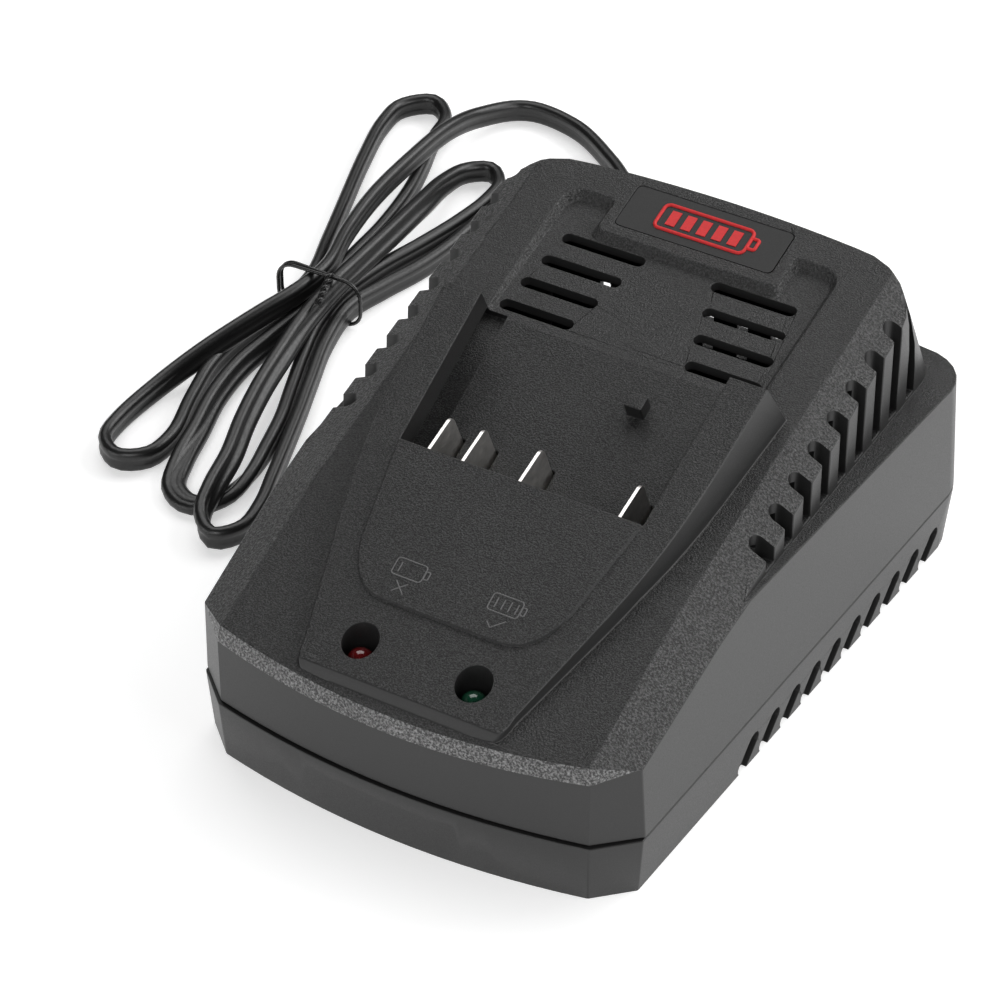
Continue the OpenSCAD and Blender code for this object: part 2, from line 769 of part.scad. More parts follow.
// Straight round wire between two points
module wire(a, b, d) {
    v = b - a;
    l = norm(v);
    translate(a) rotate([0, acos(v[2] / l), atan2(v[1], v[0])]) cylinder(d = d, h = l, $fn = 24);
}
lead_d = 2;
module contact_leads() {
    foot_y = step_y + 4;
    tail = on_dock_point(blade_start + blade_l / 2, floor_z - wall - fit - block_h - blade_tail);
    color("#a33027") placed() for (x = blade_xs)
        wire([x, foot_y + 6, board_z + board_t], [x, tail[0], tail[1]], lead_d);
}
// Place of a point of the dock frame in the case: its distance from the front and its height
function on_dock_point(y, z) = [step_y + y * cos(dock_slope) - z * sin(dock_slope),
    step_z + y * sin(dock_slope) + z * cos(dock_slope)];

// ---- circuit board and what stands on it ----
top_of_board = board_z + board_t;
module circuit_board() {
    color("#2b6b45") placed() difference() {
        translate([-board_w / 2, board_y, board_z]) cube([board_w, board_l, board_t]);
        for (p = board_points) translate([p[0], p[1], board_z - over])
            cylinder(d = board_screw_d + 3 * fit, h = board_t + 2 * over);
    }
}
core_w = 42;
core_d = 15;
core_h = 36;
coil_d = 33;
core_at = [-20, board_rear_y - 34];
core_leg = 7;
core_middle = 6;
core_window = core_w / 2 - core_leg - core_middle;
module transformer_core() {
    color("#3a3633") placed() translate([core_at[0], core_at[1], top_of_board]) difference() {
        translate([-core_w / 2, -core_d / 2, 0]) cube([core_w, core_d, core_h]);
        for (x = [core_middle, -core_middle - core_window]) translate([x, -core_d, core_leg])
            cube([core_window, 2 * core_d, core_h - 2 * core_leg]);
    }
}
module transformer_coil() {
    low_z = top_of_board + core_leg + fit;
    color("#c9a227") placed() translate([core_at[0], core_at[1], low_z]) difference() {
        translate([fit - core_middle - core_window, -coil_d / 2, 0])
            cube([2 * (core_middle + core_window - fit), coil_d, core_h - 2 * core_leg - 2 * fit]);
        translate([-core_middle - fit, -core_d / 2 - fit, -over])
            cube([2 * (core_middle + fit), core_d + 2 * fit, core_h]);
    }
}
module can(at, d, h) {
    translate([at[0], at[1], top_of_board]) cylinder(d = d, h = h);
}
mains_can_d = 18;
mains_can_h = 32;
mains_can_at = [board_w / 2 - 24, board_rear_y - 20];
module mains_capacitor() { color("#20304f") placed() can(mains_can_at, mains_can_d, mains_can_h); }
output_can_d = 12.5;
output_can_h = 22;
output_can_at = [12 - board_w / 2, board_y + 62];
module output_capacitor() { color("#20304f") placed() can(output_can_at, output_can_d, output_can_h); }
choke_r = 6.6;
choke_ring = 2.9;
choke_l = 8;
choke_at = [2, board_rear_y - 8];
module mains_choke() {
    middle_z = top_of_board + choke_r + choke_ring / 2;
    color("#b06a2c") placed() translate([choke_at[0], choke_at[1], middle_z]) rotate([90, 0, 0])
        rotate_extrude() translate([choke_r, 0]) square([choke_ring, choke_l], center = true);
}
fuse_l = 20;
fuse_d = 5;
fuse_lift = 1;
fuse_at = [board_w / 2 - 8, board_rear_y - 16];
module fuse() {
    middle_z = top_of_board + fuse_d / 2 + fuse_lift;
    color("#d9d9d2") placed() translate([fuse_at[0], fuse_at[1] - fuse_l, middle_z])
        rotate([-90, 0, 0]) cylinder(d = fuse_d, h = fuse_l);
}
clip_t = 0.8;
clip_w = 2;
module fuse_clips() {
    color("#b9b29a") placed() for (y = [clip_w, fuse_l - 2 * clip_w])
        translate([fuse_at[0], fuse_at[1] - fuse_l + y, top_of_board]) difference() {
            translate([-fuse_d / 2 - clip_t, 0, 0]) cube([fuse_d + 2 * clip_t, clip_w, fuse_d + 0.6]);
            translate([0, -over, fuse_d / 2 + fuse_lift]) rotate([-90, 0, 0])
                cylinder(d = fuse_d + fit, h = clip_w + 2 * over);
        }
}
bridge_size = [20, 4.2, 14];
bridge_at = [10, board_rear_y - 42];
module bridge_rectifier() {
    color("#1c1c1e") placed() translate([bridge_at[0], bridge_at[1], top_of_board]) cube(bridge_size);
}
sink_t = 2;
sink_w = 34;
fin_t = 1.4;
fin_l = 7;
fin_pitch = 6;
module heat_sink(at, h) {
    translate([at[0], at[1], top_of_board]) {
        cube([sink_w, sink_t, h]);
        for (x = [0 : fin_pitch : sink_w - fin_t]) translate([x, 0, 0]) cube([fin_t, sink_t + fin_l, h]);
    }
}
// Flat package screwed to the plain side of a heat sink, x in from the sink's left end
package = [10, 4.4, 18];
module flat_package(at, x) {
    translate([at[0] + x, at[1] - package[1] - fit / 2, top_of_board]) cube(package);
}
primary_sink_h = 26;
primary_sink_at = [8, board_y + 66];
output_sink_h = 24;
output_sink_at = [6 - board_w / 2, board_y + 28];
module primary_heat_sink() { color("#b9bcc0") placed() heat_sink(primary_sink_at, primary_sink_h); }
module switching_transistor() { color("#1c1c1e") placed() flat_package(primary_sink_at, 10); }
module output_heat_sink() { color("#b9bcc0") placed() heat_sink(output_sink_at, output_sink_h); }
module output_diode() { color("#1c1c1e") placed() flat_package(output_sink_at, 12); }

// ---- screws ----
module screw(d, l, head_d, head_h) {
    difference() {
        union() {
            cylinder(d = head_d, h = head_h);
            cylinder(d = d, h = l);
        }
        for (a = [0, 90]) rotate([0, 0, a]) translate([-head_d / 3, -0.5, -over])
            cube([head_d * 2 / 3, 1, head_h * 0.6 + over]);
    }
}
case_screw_grip = 6;
module case_screws() {
    color("#8b8d90") placed() for (p = boss_points) translate([p[0], p[1], screw_sink - case_head_h])
        screw(case_screw_d - thread_bite, parting_z + case_screw_grip - screw_sink,
            case_head_d, case_head_h);
}
board_screw_l = 8;
clamp_screw_l = 10;
module board_screws() {
    color("#8b8d90") placed() for (p = board_points) translate([p[0], p[1], top_of_board + board_head_h])
        mirror([0, 0, 1]) screw(board_screw_d - board_bite, board_screw_l, board_head_d, board_head_h);
}

// ---- cord where it enters the case ----
relief_root_y = case_l + fit;
relief_flange = 2.4;
relief_neck_l = wall + fit + 1.4;
relief_rim = 0.4;
module cord_relief() {
    color("#1b1b1c") placed() translate([cord_x, 0, cord_z]) {
        translate([-relief_neck_w / 2, case_l - relief_neck_l, -relief_neck_h / 2])
            cube([relief_neck_w, relief_neck_l + 1.5 * fit, relief_neck_h]);
        translate([-relief_w / 2, case_l - relief_neck_l - relief_flange, -relief_h / 2])
            cube([relief_w, relief_flange, relief_h]);
        translate([0, relief_root_y, 0]) loft_along_y(relief_neck_w, relief_neck_h,
            cord_t + 2 * relief_rim, cord_w + 2 * relief_rim, relief_l);
    }
}
// Block that tapers from w0 x h0 to w1 x h1 over l
module loft_along_y(w0, h0, w1, h1, l) {
    rotate([-90, 0, 0]) loft(block_end(w0, h0), 0, block_end(w1, h1), l);
}
function block_end(w, h) = [[-w / 2, -h / 2], [w / 2, -h / 2], [w / 2, h / 2], [-w / 2, h / 2]];
module cord_clamp() {
    color("#3a3a3c") placed() difference() {
        translate([cord_x - clamp_w / 2, clamp_y - clamp_d / 2, cord_z + cord_w / 2 + fit])
            cube([clamp_w, clamp_d, clamp_t]);
        for (side = [-1, 1]) translate([cord_x + side * clamp_screw_x, clamp_y, cord_z])
            cylinder(d = board_screw_d + 2 * fit, h = 20);
    }
}
module clamp_screws() {
    top_z = cord_z + cord_w / 2 + fit + clamp_t;
    color("#8b8d90") placed() for (side = [-1, 1])
        translate([cord_x + side * clamp_screw_x, clamp_y, top_z + board_head_h])
            mirror([0, 0, 1]) screw(board_screw_d - board_bite, clamp_screw_l, board_head_d, board_head_h);
}
// The cord's two cores inside the case, from the strain relief to the board
module inlet_leads() {
    start_y = case_l - relief_neck_l - relief_flange;
    end_y = board_rear_y - 4;
    color("#1b1b1c") placed() translate([cord_x - cord_t / 2, end_y, 0]) {
        translate([0, 0, top_of_board]) cube([cord_t, 8, cord_t]);
        translate([0, 6, cord_z - cord_w / 2]) cube([cord_t, start_y - end_y - 6, cord_w]);
    }
}

// ---- cord outside the case ----
// The routes are in the case's finished frame, whose origin is under the middle of the case.
cord_exit = [cord_x, case_l / 2 + fit + relief_l, cord_z];
lead_route = [[-3, 140, 8], [-18, 153, 4.5], [-45, 161, 3.5], [-70, 170, 3.5], [-92, 188, 3.5],
    [-112, 200, 3.5], [-130, 201, 3.5]];
plug_route = [[-106, 162, 3.5], [-97, 167, 3.5], [-88, 163, 3.5], [-83, 153, 3.5], [-82, 140, 3.5],
    [-78, 127, 4], [-69, 117, 6], [-58, 113, 7.5]];
// Loops of the hank: the fold furthest out and its radius, both ends of five loops that share one waist
hank_waist = [-130, 82];
hank_waist_r = 12.5;
hank_folds = [[-156, 179, 11], [-122, 158, 9.5], [-141.5, 5, 10.5], [-115.5, 0, 12.5], [-100, -12, 10.5]];
hank_h = 13;
tie_t = 0.8;
tie_w = 2.6;
cord_sides = 8;
cord_step = 12;

// Point at share t of the smooth curve through p[i] and p[i + 1]
function smooth(p, i, t) = let (
        a = p[max(i - 1, 0)], b = p[i], c = p[i + 1], d = p[min(i + 2, len(p) - 1)])
    0.5 * (2 * b + (c - a) * t + (2 * a - 5 * b + 4 * c - d) * t * t
        + (3 * b - a - 3 * c + d) * t * t * t);
function along(p) = concat(
    [for (i = [0 : len(p) - 2]) let (n = max(1, round(norm(p[i + 1] - p[i]) / cord_step)))
        for (k = [0 : n - 1]) smooth(p, i, k / n)],
    [p[len(p) - 1]]);
// Ring of the flat cord standing on its edge, square to direction v
function cord_ring(at, v) = let (side = [v[1], -v[0], 0] / norm([v[0], v[1]]))
    [for (k = [0 : cord_sides - 1]) let (a = 360 * (k + 0.5) / cord_sides)
        at + side * (cord_t / 2 * cos(a) / cos(180 / cord_sides))
            + [0, 0, cord_w / 2 * sin(a) / cos(180 / cord_sides)]];
module swept_cord(route, first, last) {
    c = along(route);
    n = len(c);
    rings = [for (i = [0 : n - 1]) let (
            v = i == 0 ? first : i == n - 1 ? last : c[i + 1] - c[i - 1])
        for (q = cord_ring(c[i], v)) q];
    m = cord_sides;
    polyhedron(points = rings, faces = concat(
        [[for (k = [0 : m - 1]) k]], [[for (k = [m - 1 : -1 : 0]) (n - 1) * m + k]],
        [for (i = [0 : n - 2]) for (k = [0 : m - 1])
            [i * m + k, (i + 1) * m + k, (i + 1) * m + (k + 1) % m, i * m + (k + 1) % m]]));
}
module cord_tube() {
    color("#161617") swept_cord(concat([cord_exit], lead_route), [0, 1, 0], [-1, 0, 0]);
}
module plug_tube() {
    color("#161617") swept_cord(plug_route, [1, 0, 0], [1, 0, 0]);
}
// Face-on stubs where both runs of the cord leave the hank
hank_stub = 12;
module cord_hank() {
    lead_end = lead_route[len(lead_route) - 1];
    plug_start = plug_route[0];
    color("#161617") translate([0, 0, tie_t]) linear_extrude(hank_h) {
        for (f = hank_folds) hull() {
            translate([f[0], f[1]]) circle(f[2], $fn = 32);
            translate(hank_waist) circle(hank_waist_r, $fn = 32);
        }
        translate([lead_end[0] - 2 * hank_stub, lead_end[1] - 2 * hank_stub])
            square([2 * hank_stub, 2 * hank_stub + 4]);
        translate([plug_start[0] - hank_stub, plug_start[1] - hank_stub / 2]) square(hank_stub);
    }
}
// The tie's loop clears the widest of the loops that cross at the waist
tie_clear = 1.1;
module cord_tie() {
    w = 2 * (hank_waist_r + tie_clear);
    color("#0e0e0f") translate([hank_waist[0], hank_waist[1] - tie_w / 2, 0]) difference() {
        translate([-w / 2 - tie_t, 0, 0]) cube([w + 2 * tie_t, tie_w, hank_h + fit / 2 + 2 * tie_t]);
        translate([-w / 2, -over, tie_t]) cube([w, tie_w + 2 * over, hank_h + fit / 2]);
    }
}
// ---- plug with two flat blades ----
plug_l = 30;
plug_w = 24;
plug_h = 15;
plug_neck = 8;
pin_gap = 12.7;
pin_w = 6.3;
pin_t = 1.5;
pin_l = 17;
pin_root = 6;
plug_at = plug_route[len(plug_route) - 1];
module plug_body() {
    color("#161617") translate(plug_at) difference() {
        union() {
            rotate([0, 90, 0]) loft(
                block_end(cord_w, cord_t), 0, block_end(plug_h, plug_w * 2 / 3), plug_neck);
            translate([plug_neck, -plug_w / 2, -plug_h / 2]) cube([plug_l - plug_neck, plug_w, plug_h]);
        }
        for (side = [-1, 1]) translate([plug_l - pin_root, side * pin_gap / 2 - pin_t / 2, -pin_w / 2])
            cube([pin_root + over, pin_t, pin_w]);
    }
}
module plug_blades() {
    color("#c9c6bd") translate(plug_at)
        for (side = [-1, 1]) translate([plug_l - pin_root, side * pin_gap / 2 - pin_t / 2, -pin_w / 2])
            cube([pin_root + pin_l, pin_t, pin_w]);
}

top_shell();
bottom_shell();
label_plate();
red_lamp();
green_lamp();
lamp_board();
lamp_cable();
contact_block();
negative_blade();
temperature_blade();
coding_blade();
positive_blade();
contact_leads();
circuit_board();
transformer_core();
transformer_coil();
mains_capacitor();
output_capacitor();
mains_choke();
fuse();
fuse_clips();
bridge_rectifier();
primary_heat_sink();
switching_transistor();
output_heat_sink();
output_diode();
case_screws();
board_screws();
cord_relief();
cord_clamp();
clamp_screws();
inlet_leads();
cord_tube();
cord_hank();
cord_tie();
plug_tube();
plug_body();
plug_blades();
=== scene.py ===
# %% [markdown]
# # A battery charger with its cord tied in a hank
# The charger is a moulded two-part case with a sloping dock for the battery, two lamps, a label
# plate and a flat mains cord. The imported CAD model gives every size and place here, so each step
# dresses what is already there: it rounds edges, adds the cord and gives every part its finish.

# %% Load the frame
import math

import bmesh
import bpy
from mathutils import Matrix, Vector


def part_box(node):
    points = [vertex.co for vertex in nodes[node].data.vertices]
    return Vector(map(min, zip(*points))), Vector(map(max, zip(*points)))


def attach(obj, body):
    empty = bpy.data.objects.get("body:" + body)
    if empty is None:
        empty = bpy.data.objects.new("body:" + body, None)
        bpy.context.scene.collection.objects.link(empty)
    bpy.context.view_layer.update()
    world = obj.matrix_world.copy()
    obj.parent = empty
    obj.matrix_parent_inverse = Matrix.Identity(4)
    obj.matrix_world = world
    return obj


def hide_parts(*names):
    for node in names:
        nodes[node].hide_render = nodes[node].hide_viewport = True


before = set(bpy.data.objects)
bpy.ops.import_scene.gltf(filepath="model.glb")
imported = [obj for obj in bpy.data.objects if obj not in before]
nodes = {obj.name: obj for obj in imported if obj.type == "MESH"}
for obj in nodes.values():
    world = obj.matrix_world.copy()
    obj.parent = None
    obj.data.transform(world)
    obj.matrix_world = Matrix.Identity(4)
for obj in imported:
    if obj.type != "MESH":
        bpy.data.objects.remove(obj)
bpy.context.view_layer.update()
MM = 0.001

# %% [markdown]
# ## Camera
# The charger is seen from its front right and from well above, with a long lens, so that its edges
# stay almost parallel. The picture is taken to be 1000 pixels wide and high, and the focal length
# is known in those pixels, so the lens in mm follows from the width of the sensor.

# %% Camera
def new_object(name, data):
    """Object with its data, linked to the scene."""
    obj = bpy.data.objects.new(name, data)
    bpy.context.scene.collection.objects.link(obj)
    return obj


def outwards(azimuth, elevation):
    """Direction away from the charger, in degrees: azimuth 0 is in front and 90 is right."""
    a, e = math.radians(azimuth), math.radians(elevation)
    return Vector((math.sin(a) * math.cos(e), -math.cos(a) * math.cos(e), math.sin(e)))


SENSOR = 36.0
PICTURE = 1000
FOCAL_PIXELS = 3932
CAMERA_AT = Vector((0.3729, -0.6871, 0.6700))
CAMERA_AZIMUTH = 29.95
CAMERA_ELEVATION = 38.80

camera_data = bpy.data.cameras.new("camera")
camera_data.sensor_width = SENSOR
camera_data.lens = FOCAL_PIXELS * SENSOR / PICTURE
camera = new_object("camera", camera_data)
camera.location = CAMERA_AT
camera.rotation_mode = "QUATERNION"
view = -outwards(CAMERA_AZIMUTH, CAMERA_ELEVATION)
camera.rotation_quaternion = view.to_track_quat("-Z", "Y")
bpy.context.scene.camera = camera
print("camera lens", round(camera_data.lens, 1), "mm")

# %% [markdown]
# ## Material helpers
# Moulded plastic is one colour with a grain that the mould was given. A small set of helpers links
# noise to colour, roughness and bump, so that each finish below is only a few named values. All
# patterns read Object coordinates, so they stay on the part, and their sizes are real: in mm here.

# %% Material helpers
def grey(level):
    """Linear value of a grey given as 0 to 255."""
    c = level / 255
    return ((c + 0.055) / 1.055) ** 2.4 if c > 0.04045 else c / 12.92


def set_inputs(node, **values):
    """Sets a node's inputs by their names, written with _ for a space."""
    for name, value in values.items():
        node.inputs[name.replace("_", " ")].default_value = value
    return node


def link_all(tree, *pairs):
    for output, target in pairs:
        tree.links.new(output, target)


def new_material(name, base, roughness, metallic=0.0, ior=1.5):
    """Material with a plain base colour, its node tree and its shader."""
    material = bpy.data.materials.new(name)
    material.use_nodes = True
    tree = material.node_tree
    shader = next(n for n in tree.nodes if n.type == "BSDF_PRINCIPLED")
    set_inputs(shader, Base_Color=(*base, 1), Roughness=roughness, Metallic=metallic, IOR=ior)
    return material, tree, shader


def object_coordinates(tree):
    return tree.nodes.new("ShaderNodeTexCoord").outputs["Object"]


def noise(tree, size, detail=2.0, rough=0.5, across=None):
    """Noise whose blobs are about size mm wide; a small value in across makes them longer."""
    place = object_coordinates(tree)
    if across:
        stretch = set_inputs(tree.nodes.new("ShaderNodeMapping"), Scale=across)
        tree.links.new(place, stretch.inputs["Vector"])
        place = stretch.outputs["Vector"]
    node = set_inputs(tree.nodes.new("ShaderNodeTexNoise"), Scale=1 / (size * MM), Detail=detail,
        Roughness=rough)
    tree.links.new(place, node.inputs["Vector"])
    return node.outputs["Fac"]


def spread(tree, value, low, high, from_low=0.3, from_high=0.7):
    """Maps the middle of a noise to low..high."""
    node = set_inputs(tree.nodes.new("ShaderNodeMapRange"), From_Min=from_low,
        From_Max=from_high, To_Min=low, To_Max=high)
    tree.links.new(value, node.inputs["Value"])
    return node.outputs["Result"]


def blend_colours(tree, factor, one, two):
    """Colour that goes from one to two as the factor goes from 0 to 1."""
    node = tree.nodes.new("ShaderNodeMix")
    node.data_type = "RGBA"
    set_inputs(node, A=(*one, 1), B=(*two, 1))
    tree.links.new(factor, node.inputs["Factor"])
    return node.outputs["Result"]


def add_bump(tree, shader, height, depth):
    """Bump of a pattern that is depth mm deep."""
    node = set_inputs(tree.nodes.new("ShaderNodeBump"), Strength=1.0, Distance=depth * MM)
    tree.links.new(height, node.inputs["Height"])
    tree.links.new(node.outputs["Normal"], shader.inputs["Normal"])


# %% [markdown]
# ## Mesh helpers
# Every finished piece is a mesh at the origin that rides on the one body, and some stand for CAD
# nodes. A piece is made from vertices and faces, lofted through rings of points, or rounded: a
# welded copy of a CAD node, whose loose triangles become clean faces that a bevel can follow.

# %% Mesh helpers
def finish_piece(obj, materials, stands_for=(), smooth=True):
    """Gives a piece its materials, its body and the CAD nodes that it stands for."""
    # Clearing the list gives every face the first material, so an empty list is left alone
    if obj.data.materials:
        obj.data.materials.clear()
    for material in materials:
        obj.data.materials.append(material)
    if smooth:
        obj.data.shade_smooth()
    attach(obj, "root")
    if stands_for:
        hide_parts(*stands_for)


def mesh_object(name, verts, faces):
    mesh = bpy.data.meshes.new(name)
    mesh.from_pydata([tuple(v) for v in verts], [], faces)
    mesh.validate()
    mesh.update()
    return new_object(name, mesh)


def joined(parts):
    """Several pairs of vertices and faces as one pair."""
    verts, faces = [], []
    for some_verts, some_faces in parts:
        faces += [tuple(len(verts) + k for k in face) for face in some_faces]
        verts += some_verts
    return verts, faces


def face_outwards(obj):
    work = bmesh.new()
    work.from_mesh(obj.data)
    bmesh.ops.recalc_face_normals(work, faces=work.faces)
    work.to_mesh(obj.data)
    work.free()
    return obj


def lofted(name, rings):
    """Closed solid through rings of the same number of points."""
    n, last = len(rings[0]), len(rings) - 1
    verts = [point for ring in rings for point in ring]
    faces = [(i * n + j, i * n + (j + 1) % n, (i + 1) * n + (j + 1) % n, (i + 1) * n + j)
        for i in range(last) for j in range(n)]
    faces += [tuple(range(n - 1, -1, -1)), tuple(range(last * n, (last + 1) * n))]
    return face_outwards(mesh_object(name, verts, faces))


# %% [markdown]
# ## Rounded edges
# A moulded edge is never sharp, and its thin highlight is much of what shows the form. The bevel
# gets its width from a weight on each edge, because one width for all would run into itself at the
# vents and teeth: a narrow face, a sharp corner or a faint crease takes less.

# %% Copy of a CAD node
WELD = 0.002 * MM
SHORTEST_EDGE = 0.08 * MM


def welded_copy(node, name, flat=math.radians(0.6)):
    """Copy of a CAD node with its corners welded and its flat triangles joined."""
    work = bmesh.new()
    work.from_mesh(nodes[node].data)
    bmesh.ops.remove_doubles(work, verts=work.verts, dist=WELD)
    bmesh.ops.dissolve_limit(work, angle_limit=flat, verts=work.verts, edges=work.edges)
    bmesh.ops.dissolve_degenerate(work, edges=work.edges, dist=SHORTEST_EDGE)
    mesh = bpy.data.meshes.new(name)
    work.to_mesh(mesh)
    work.free()
    return new_object(name, mesh)


# %% Width of each rounding
TABLE_GAP = 0.05 * MM
WEIGHT = "bevel_weight_edge"


def room_beside(loop, samples=(0.15, 0.5, 0.85), far=1.0, least_reach=1e-7):
    """How far a face reaches inwards from one of its edges before it meets its own outline."""
    face = loop.face
    start = loop.vert.co
    along = loop.link_loop_next.vert.co - start
    inward = face.normal.cross(along).normalized()
    outline = [(l.vert.co, l.link_loop_next.vert.co) for l in face.loops if l is not loop]
    least = far
    for share in samples:
        origin = start + along * share
        for a, b in outline:
            side_a, side_b = (a - origin).dot(along), (b - origin).dot(along)
            if (side_a > 0) == (side_b > 0):
                continue
            t = side_a / (side_a - side_b)
            reach = (a.lerp(b, t) - origin).dot(inward)
            if least_reach < reach < least:
                least = reach
    return least


def corner_share(edge, wide=45.0):
    """1 where an edge meets its neighbours squarely, and less at a sharp corner, where a rounding
    would run far out."""
    least = wide
    for loop in edge.link_loops:
        for corner in (loop, loop.link_loop_next):
            least = min(least, math.degrees(corner.calc_angle()))
    return least / wide


def mark_edges(work, width, sharp=20.0, crease=2.5, upright=0.5, crease_length=4 * MM,
        share=0.42, faint=0.12):
    """Weights the edges to round: every sharp one, and faintly the long level creases between flat
    faces. Upright edges that turn a little are steps of a bowed wall or a corner, and stay smooth.
    A narrow face gets a smaller rounding, so that both its sides fit on it. An edge on the table
    stays as it is, so that the case stands flat."""
    layer = work.edges.layers.float.new(WEIGHT)
    count = 0
    for edge in work.edges:
        if len(edge.link_loops) != 2 or max(vert.co.z for vert in edge.verts) < TABLE_GAP:
            continue
        turn = math.degrees(edge.calc_face_angle(0))
        along = edge.verts[1].co - edge.verts[0].co
        level = along.length > crease_length and abs(along.z) < upright * along.length
        if turn > sharp or (turn > crease and level):
            room = min(room_beside(loop) for loop in edge.link_loops)
            full = 1.0 if turn > sharp else faint
            edge[layer] = min(full, share * room / width) * corner_share(edge)
            count += 1
    return count


def even_out(work, straight=25.0, bent_turn=6.0, share=0.15):
    """Gives edges that follow each other in one line the rounding of their narrow places, because
    two widths that meet on a line, or a rounding that stops halfway, leave a spike."""
    layer = work.edges.layers.float[WEIGHT]
    bent = {edge for edge in work.edges if math.degrees(edge.calc_face_angle(0)) > bent_turn}
    taken = set()
    for first in [edge for edge in work.edges if edge[layer] > 0]:
        line, open_ends = [], [first]
        while open_ends:
            edge = open_ends.pop()
            if edge in taken:
                continue
            taken.add(edge)
            line.append(edge)
            for vert in edge.verts:
                along = edge.other_vert(vert).co - vert.co
                for other in vert.link_edges:
                    onward = other.other_vert(vert).co - vert.co
                    if other in bent and other not in taken and along.angle(
                            onward, 0) > math.radians(180 - straight):
                        open_ends.append(other)
        marked = sorted((edge for edge in line if edge[layer] > 0), key=lambda edge: edge[layer])
        left = share * sum(edge.calc_length() for edge in marked)
        for edge in marked:
            common = edge[layer]
            left -= edge.calc_length()
            if left <= 0:
                break
        for edge in line:
            edge[layer] = common


# %% Rounded copy of a CAD node
def evaluated_mesh(obj):
    """Plain mesh of a piece with its modifiers applied."""
    graph = bpy.context.evaluated_depsgraph_get()
    return bpy.data.meshes.new_from_object(obj.evaluated_get(graph))


def rounded_copy(node, name, width, segments=2, zone=None):
    """Welded copy of a moulded CAD node with its edges rounded and its flat faces kept flat; zone
    picks each face's material. No vertex goes lower than the node itself."""
    obj = welded_copy(node, name)
    work = bmesh.new()
    work.from_mesh(obj.data)
    if zone:
        for face in work.faces:
            face.material_index = zone(face.calc_center_median(), face.normal)
    marked = mark_edges(work, width)
    even_out(work)
    polygons = [face for face in work.faces if len(face.verts) > 3]
    bmesh.ops.connect_verts_concave(work, faces=polygons)
    work.to_mesh(obj.data)
    work.free()
    bevel = obj.modifiers.new("rounded_edges", "BEVEL")
    bevel.width = width
    bevel.segments = segments
    bevel.limit_method = "WEIGHT"
    bevel.use_clamp_overlap = False
    bevel.miter_outer = "MITER_ARC"
    bevel.material = 0
    rounded = evaluated_mesh(obj)
    obj.modifiers.remove(bevel)
    obj.data = rounded
    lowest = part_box(node)[0][2]
    for vert in rounded.vertices:
        vert.co.z = max(vert.co.z, lowest)
    flat = obj.modifiers.new("flat_faces", "WEIGHTED_NORMAL")
    flat.mode = "FACE_AREA"
    flat.weight = 100
    print(name, marked, "edges rounded")
    return obj


# %% [markdown]
# ## Growing pieces with Geometry Nodes
# Wires, raised lines, windings and ribs all repeat one small form along a path. Two node trees
# make them: one sweeps a round wire along any path, and one sets collars in a row that tapers. Each
# tree has named inputs for its sizes, and its result is stored as a plain mesh.

# %% Start and end of a node tree
def new_tree(name, **sizes):
    """Empty node tree with a geometry input, the named sizes and a finish."""
    tree = bpy.data.node_groups.new(name, "GeometryNodeTree")
    inputs = {"Geometry": "Geometry", **sizes, "Finish": "Material"}
    for label, kind in inputs.items():
        label = label.replace("_", " ")
        tree.interface.new_socket(label, in_out="INPUT", socket_type="NodeSocket" + kind)
    tree.interface.new_socket("Geometry", in_out="OUTPUT", socket_type="NodeSocketGeometry")
    return tree, tree.nodes.new("NodeGroupInput"), tree.nodes.new("NodeGroupOutput")


def close_tree(tree, start, end, geometry):
    """Ends a tree with Realize Instances and Set Material."""
    real = tree.nodes.new("GeometryNodeRealizeInstances")
    finish = tree.nodes.new("GeometryNodeSetMaterial")
    link_all(tree, (geometry, real.inputs["Geometry"]),
        (real.outputs["Geometry"], finish.inputs["Geometry"]),
        (start.outputs["Finish"], finish.inputs["Material"]),
        (finish.outputs["Geometry"], end.inputs["Geometry"]))


# %% Wire tree
def wire_tree():
    """Round wire along every path of the input."""
    tree, start, end = new_tree("wire_along_path", Radius="Float", Sides="Int")
    new = tree.nodes.new
    path = new("GeometryNodeMeshToCurve")
    ring = new("GeometryNodeCurvePrimitiveCircle")
    tube = set_inputs(new("GeometryNodeCurveToMesh"), Fill_Caps=True)
    link_all(tree, (start.outputs["Geometry"], path.inputs["Mesh"]),
        (start.outputs["Radius"], ring.inputs["Radius"]),
        (start.outputs["Sides"], ring.inputs["Resolution"]),
        (path.outputs["Curve"], tube.inputs["Curve"]),
        (ring.outputs["Curve"], tube.inputs["Profile Curve"]))
    close_tree(tree, start, end, tube.outputs["Mesh"])
    return tree


# %% Collar tree
OVAL_SIDES = 28


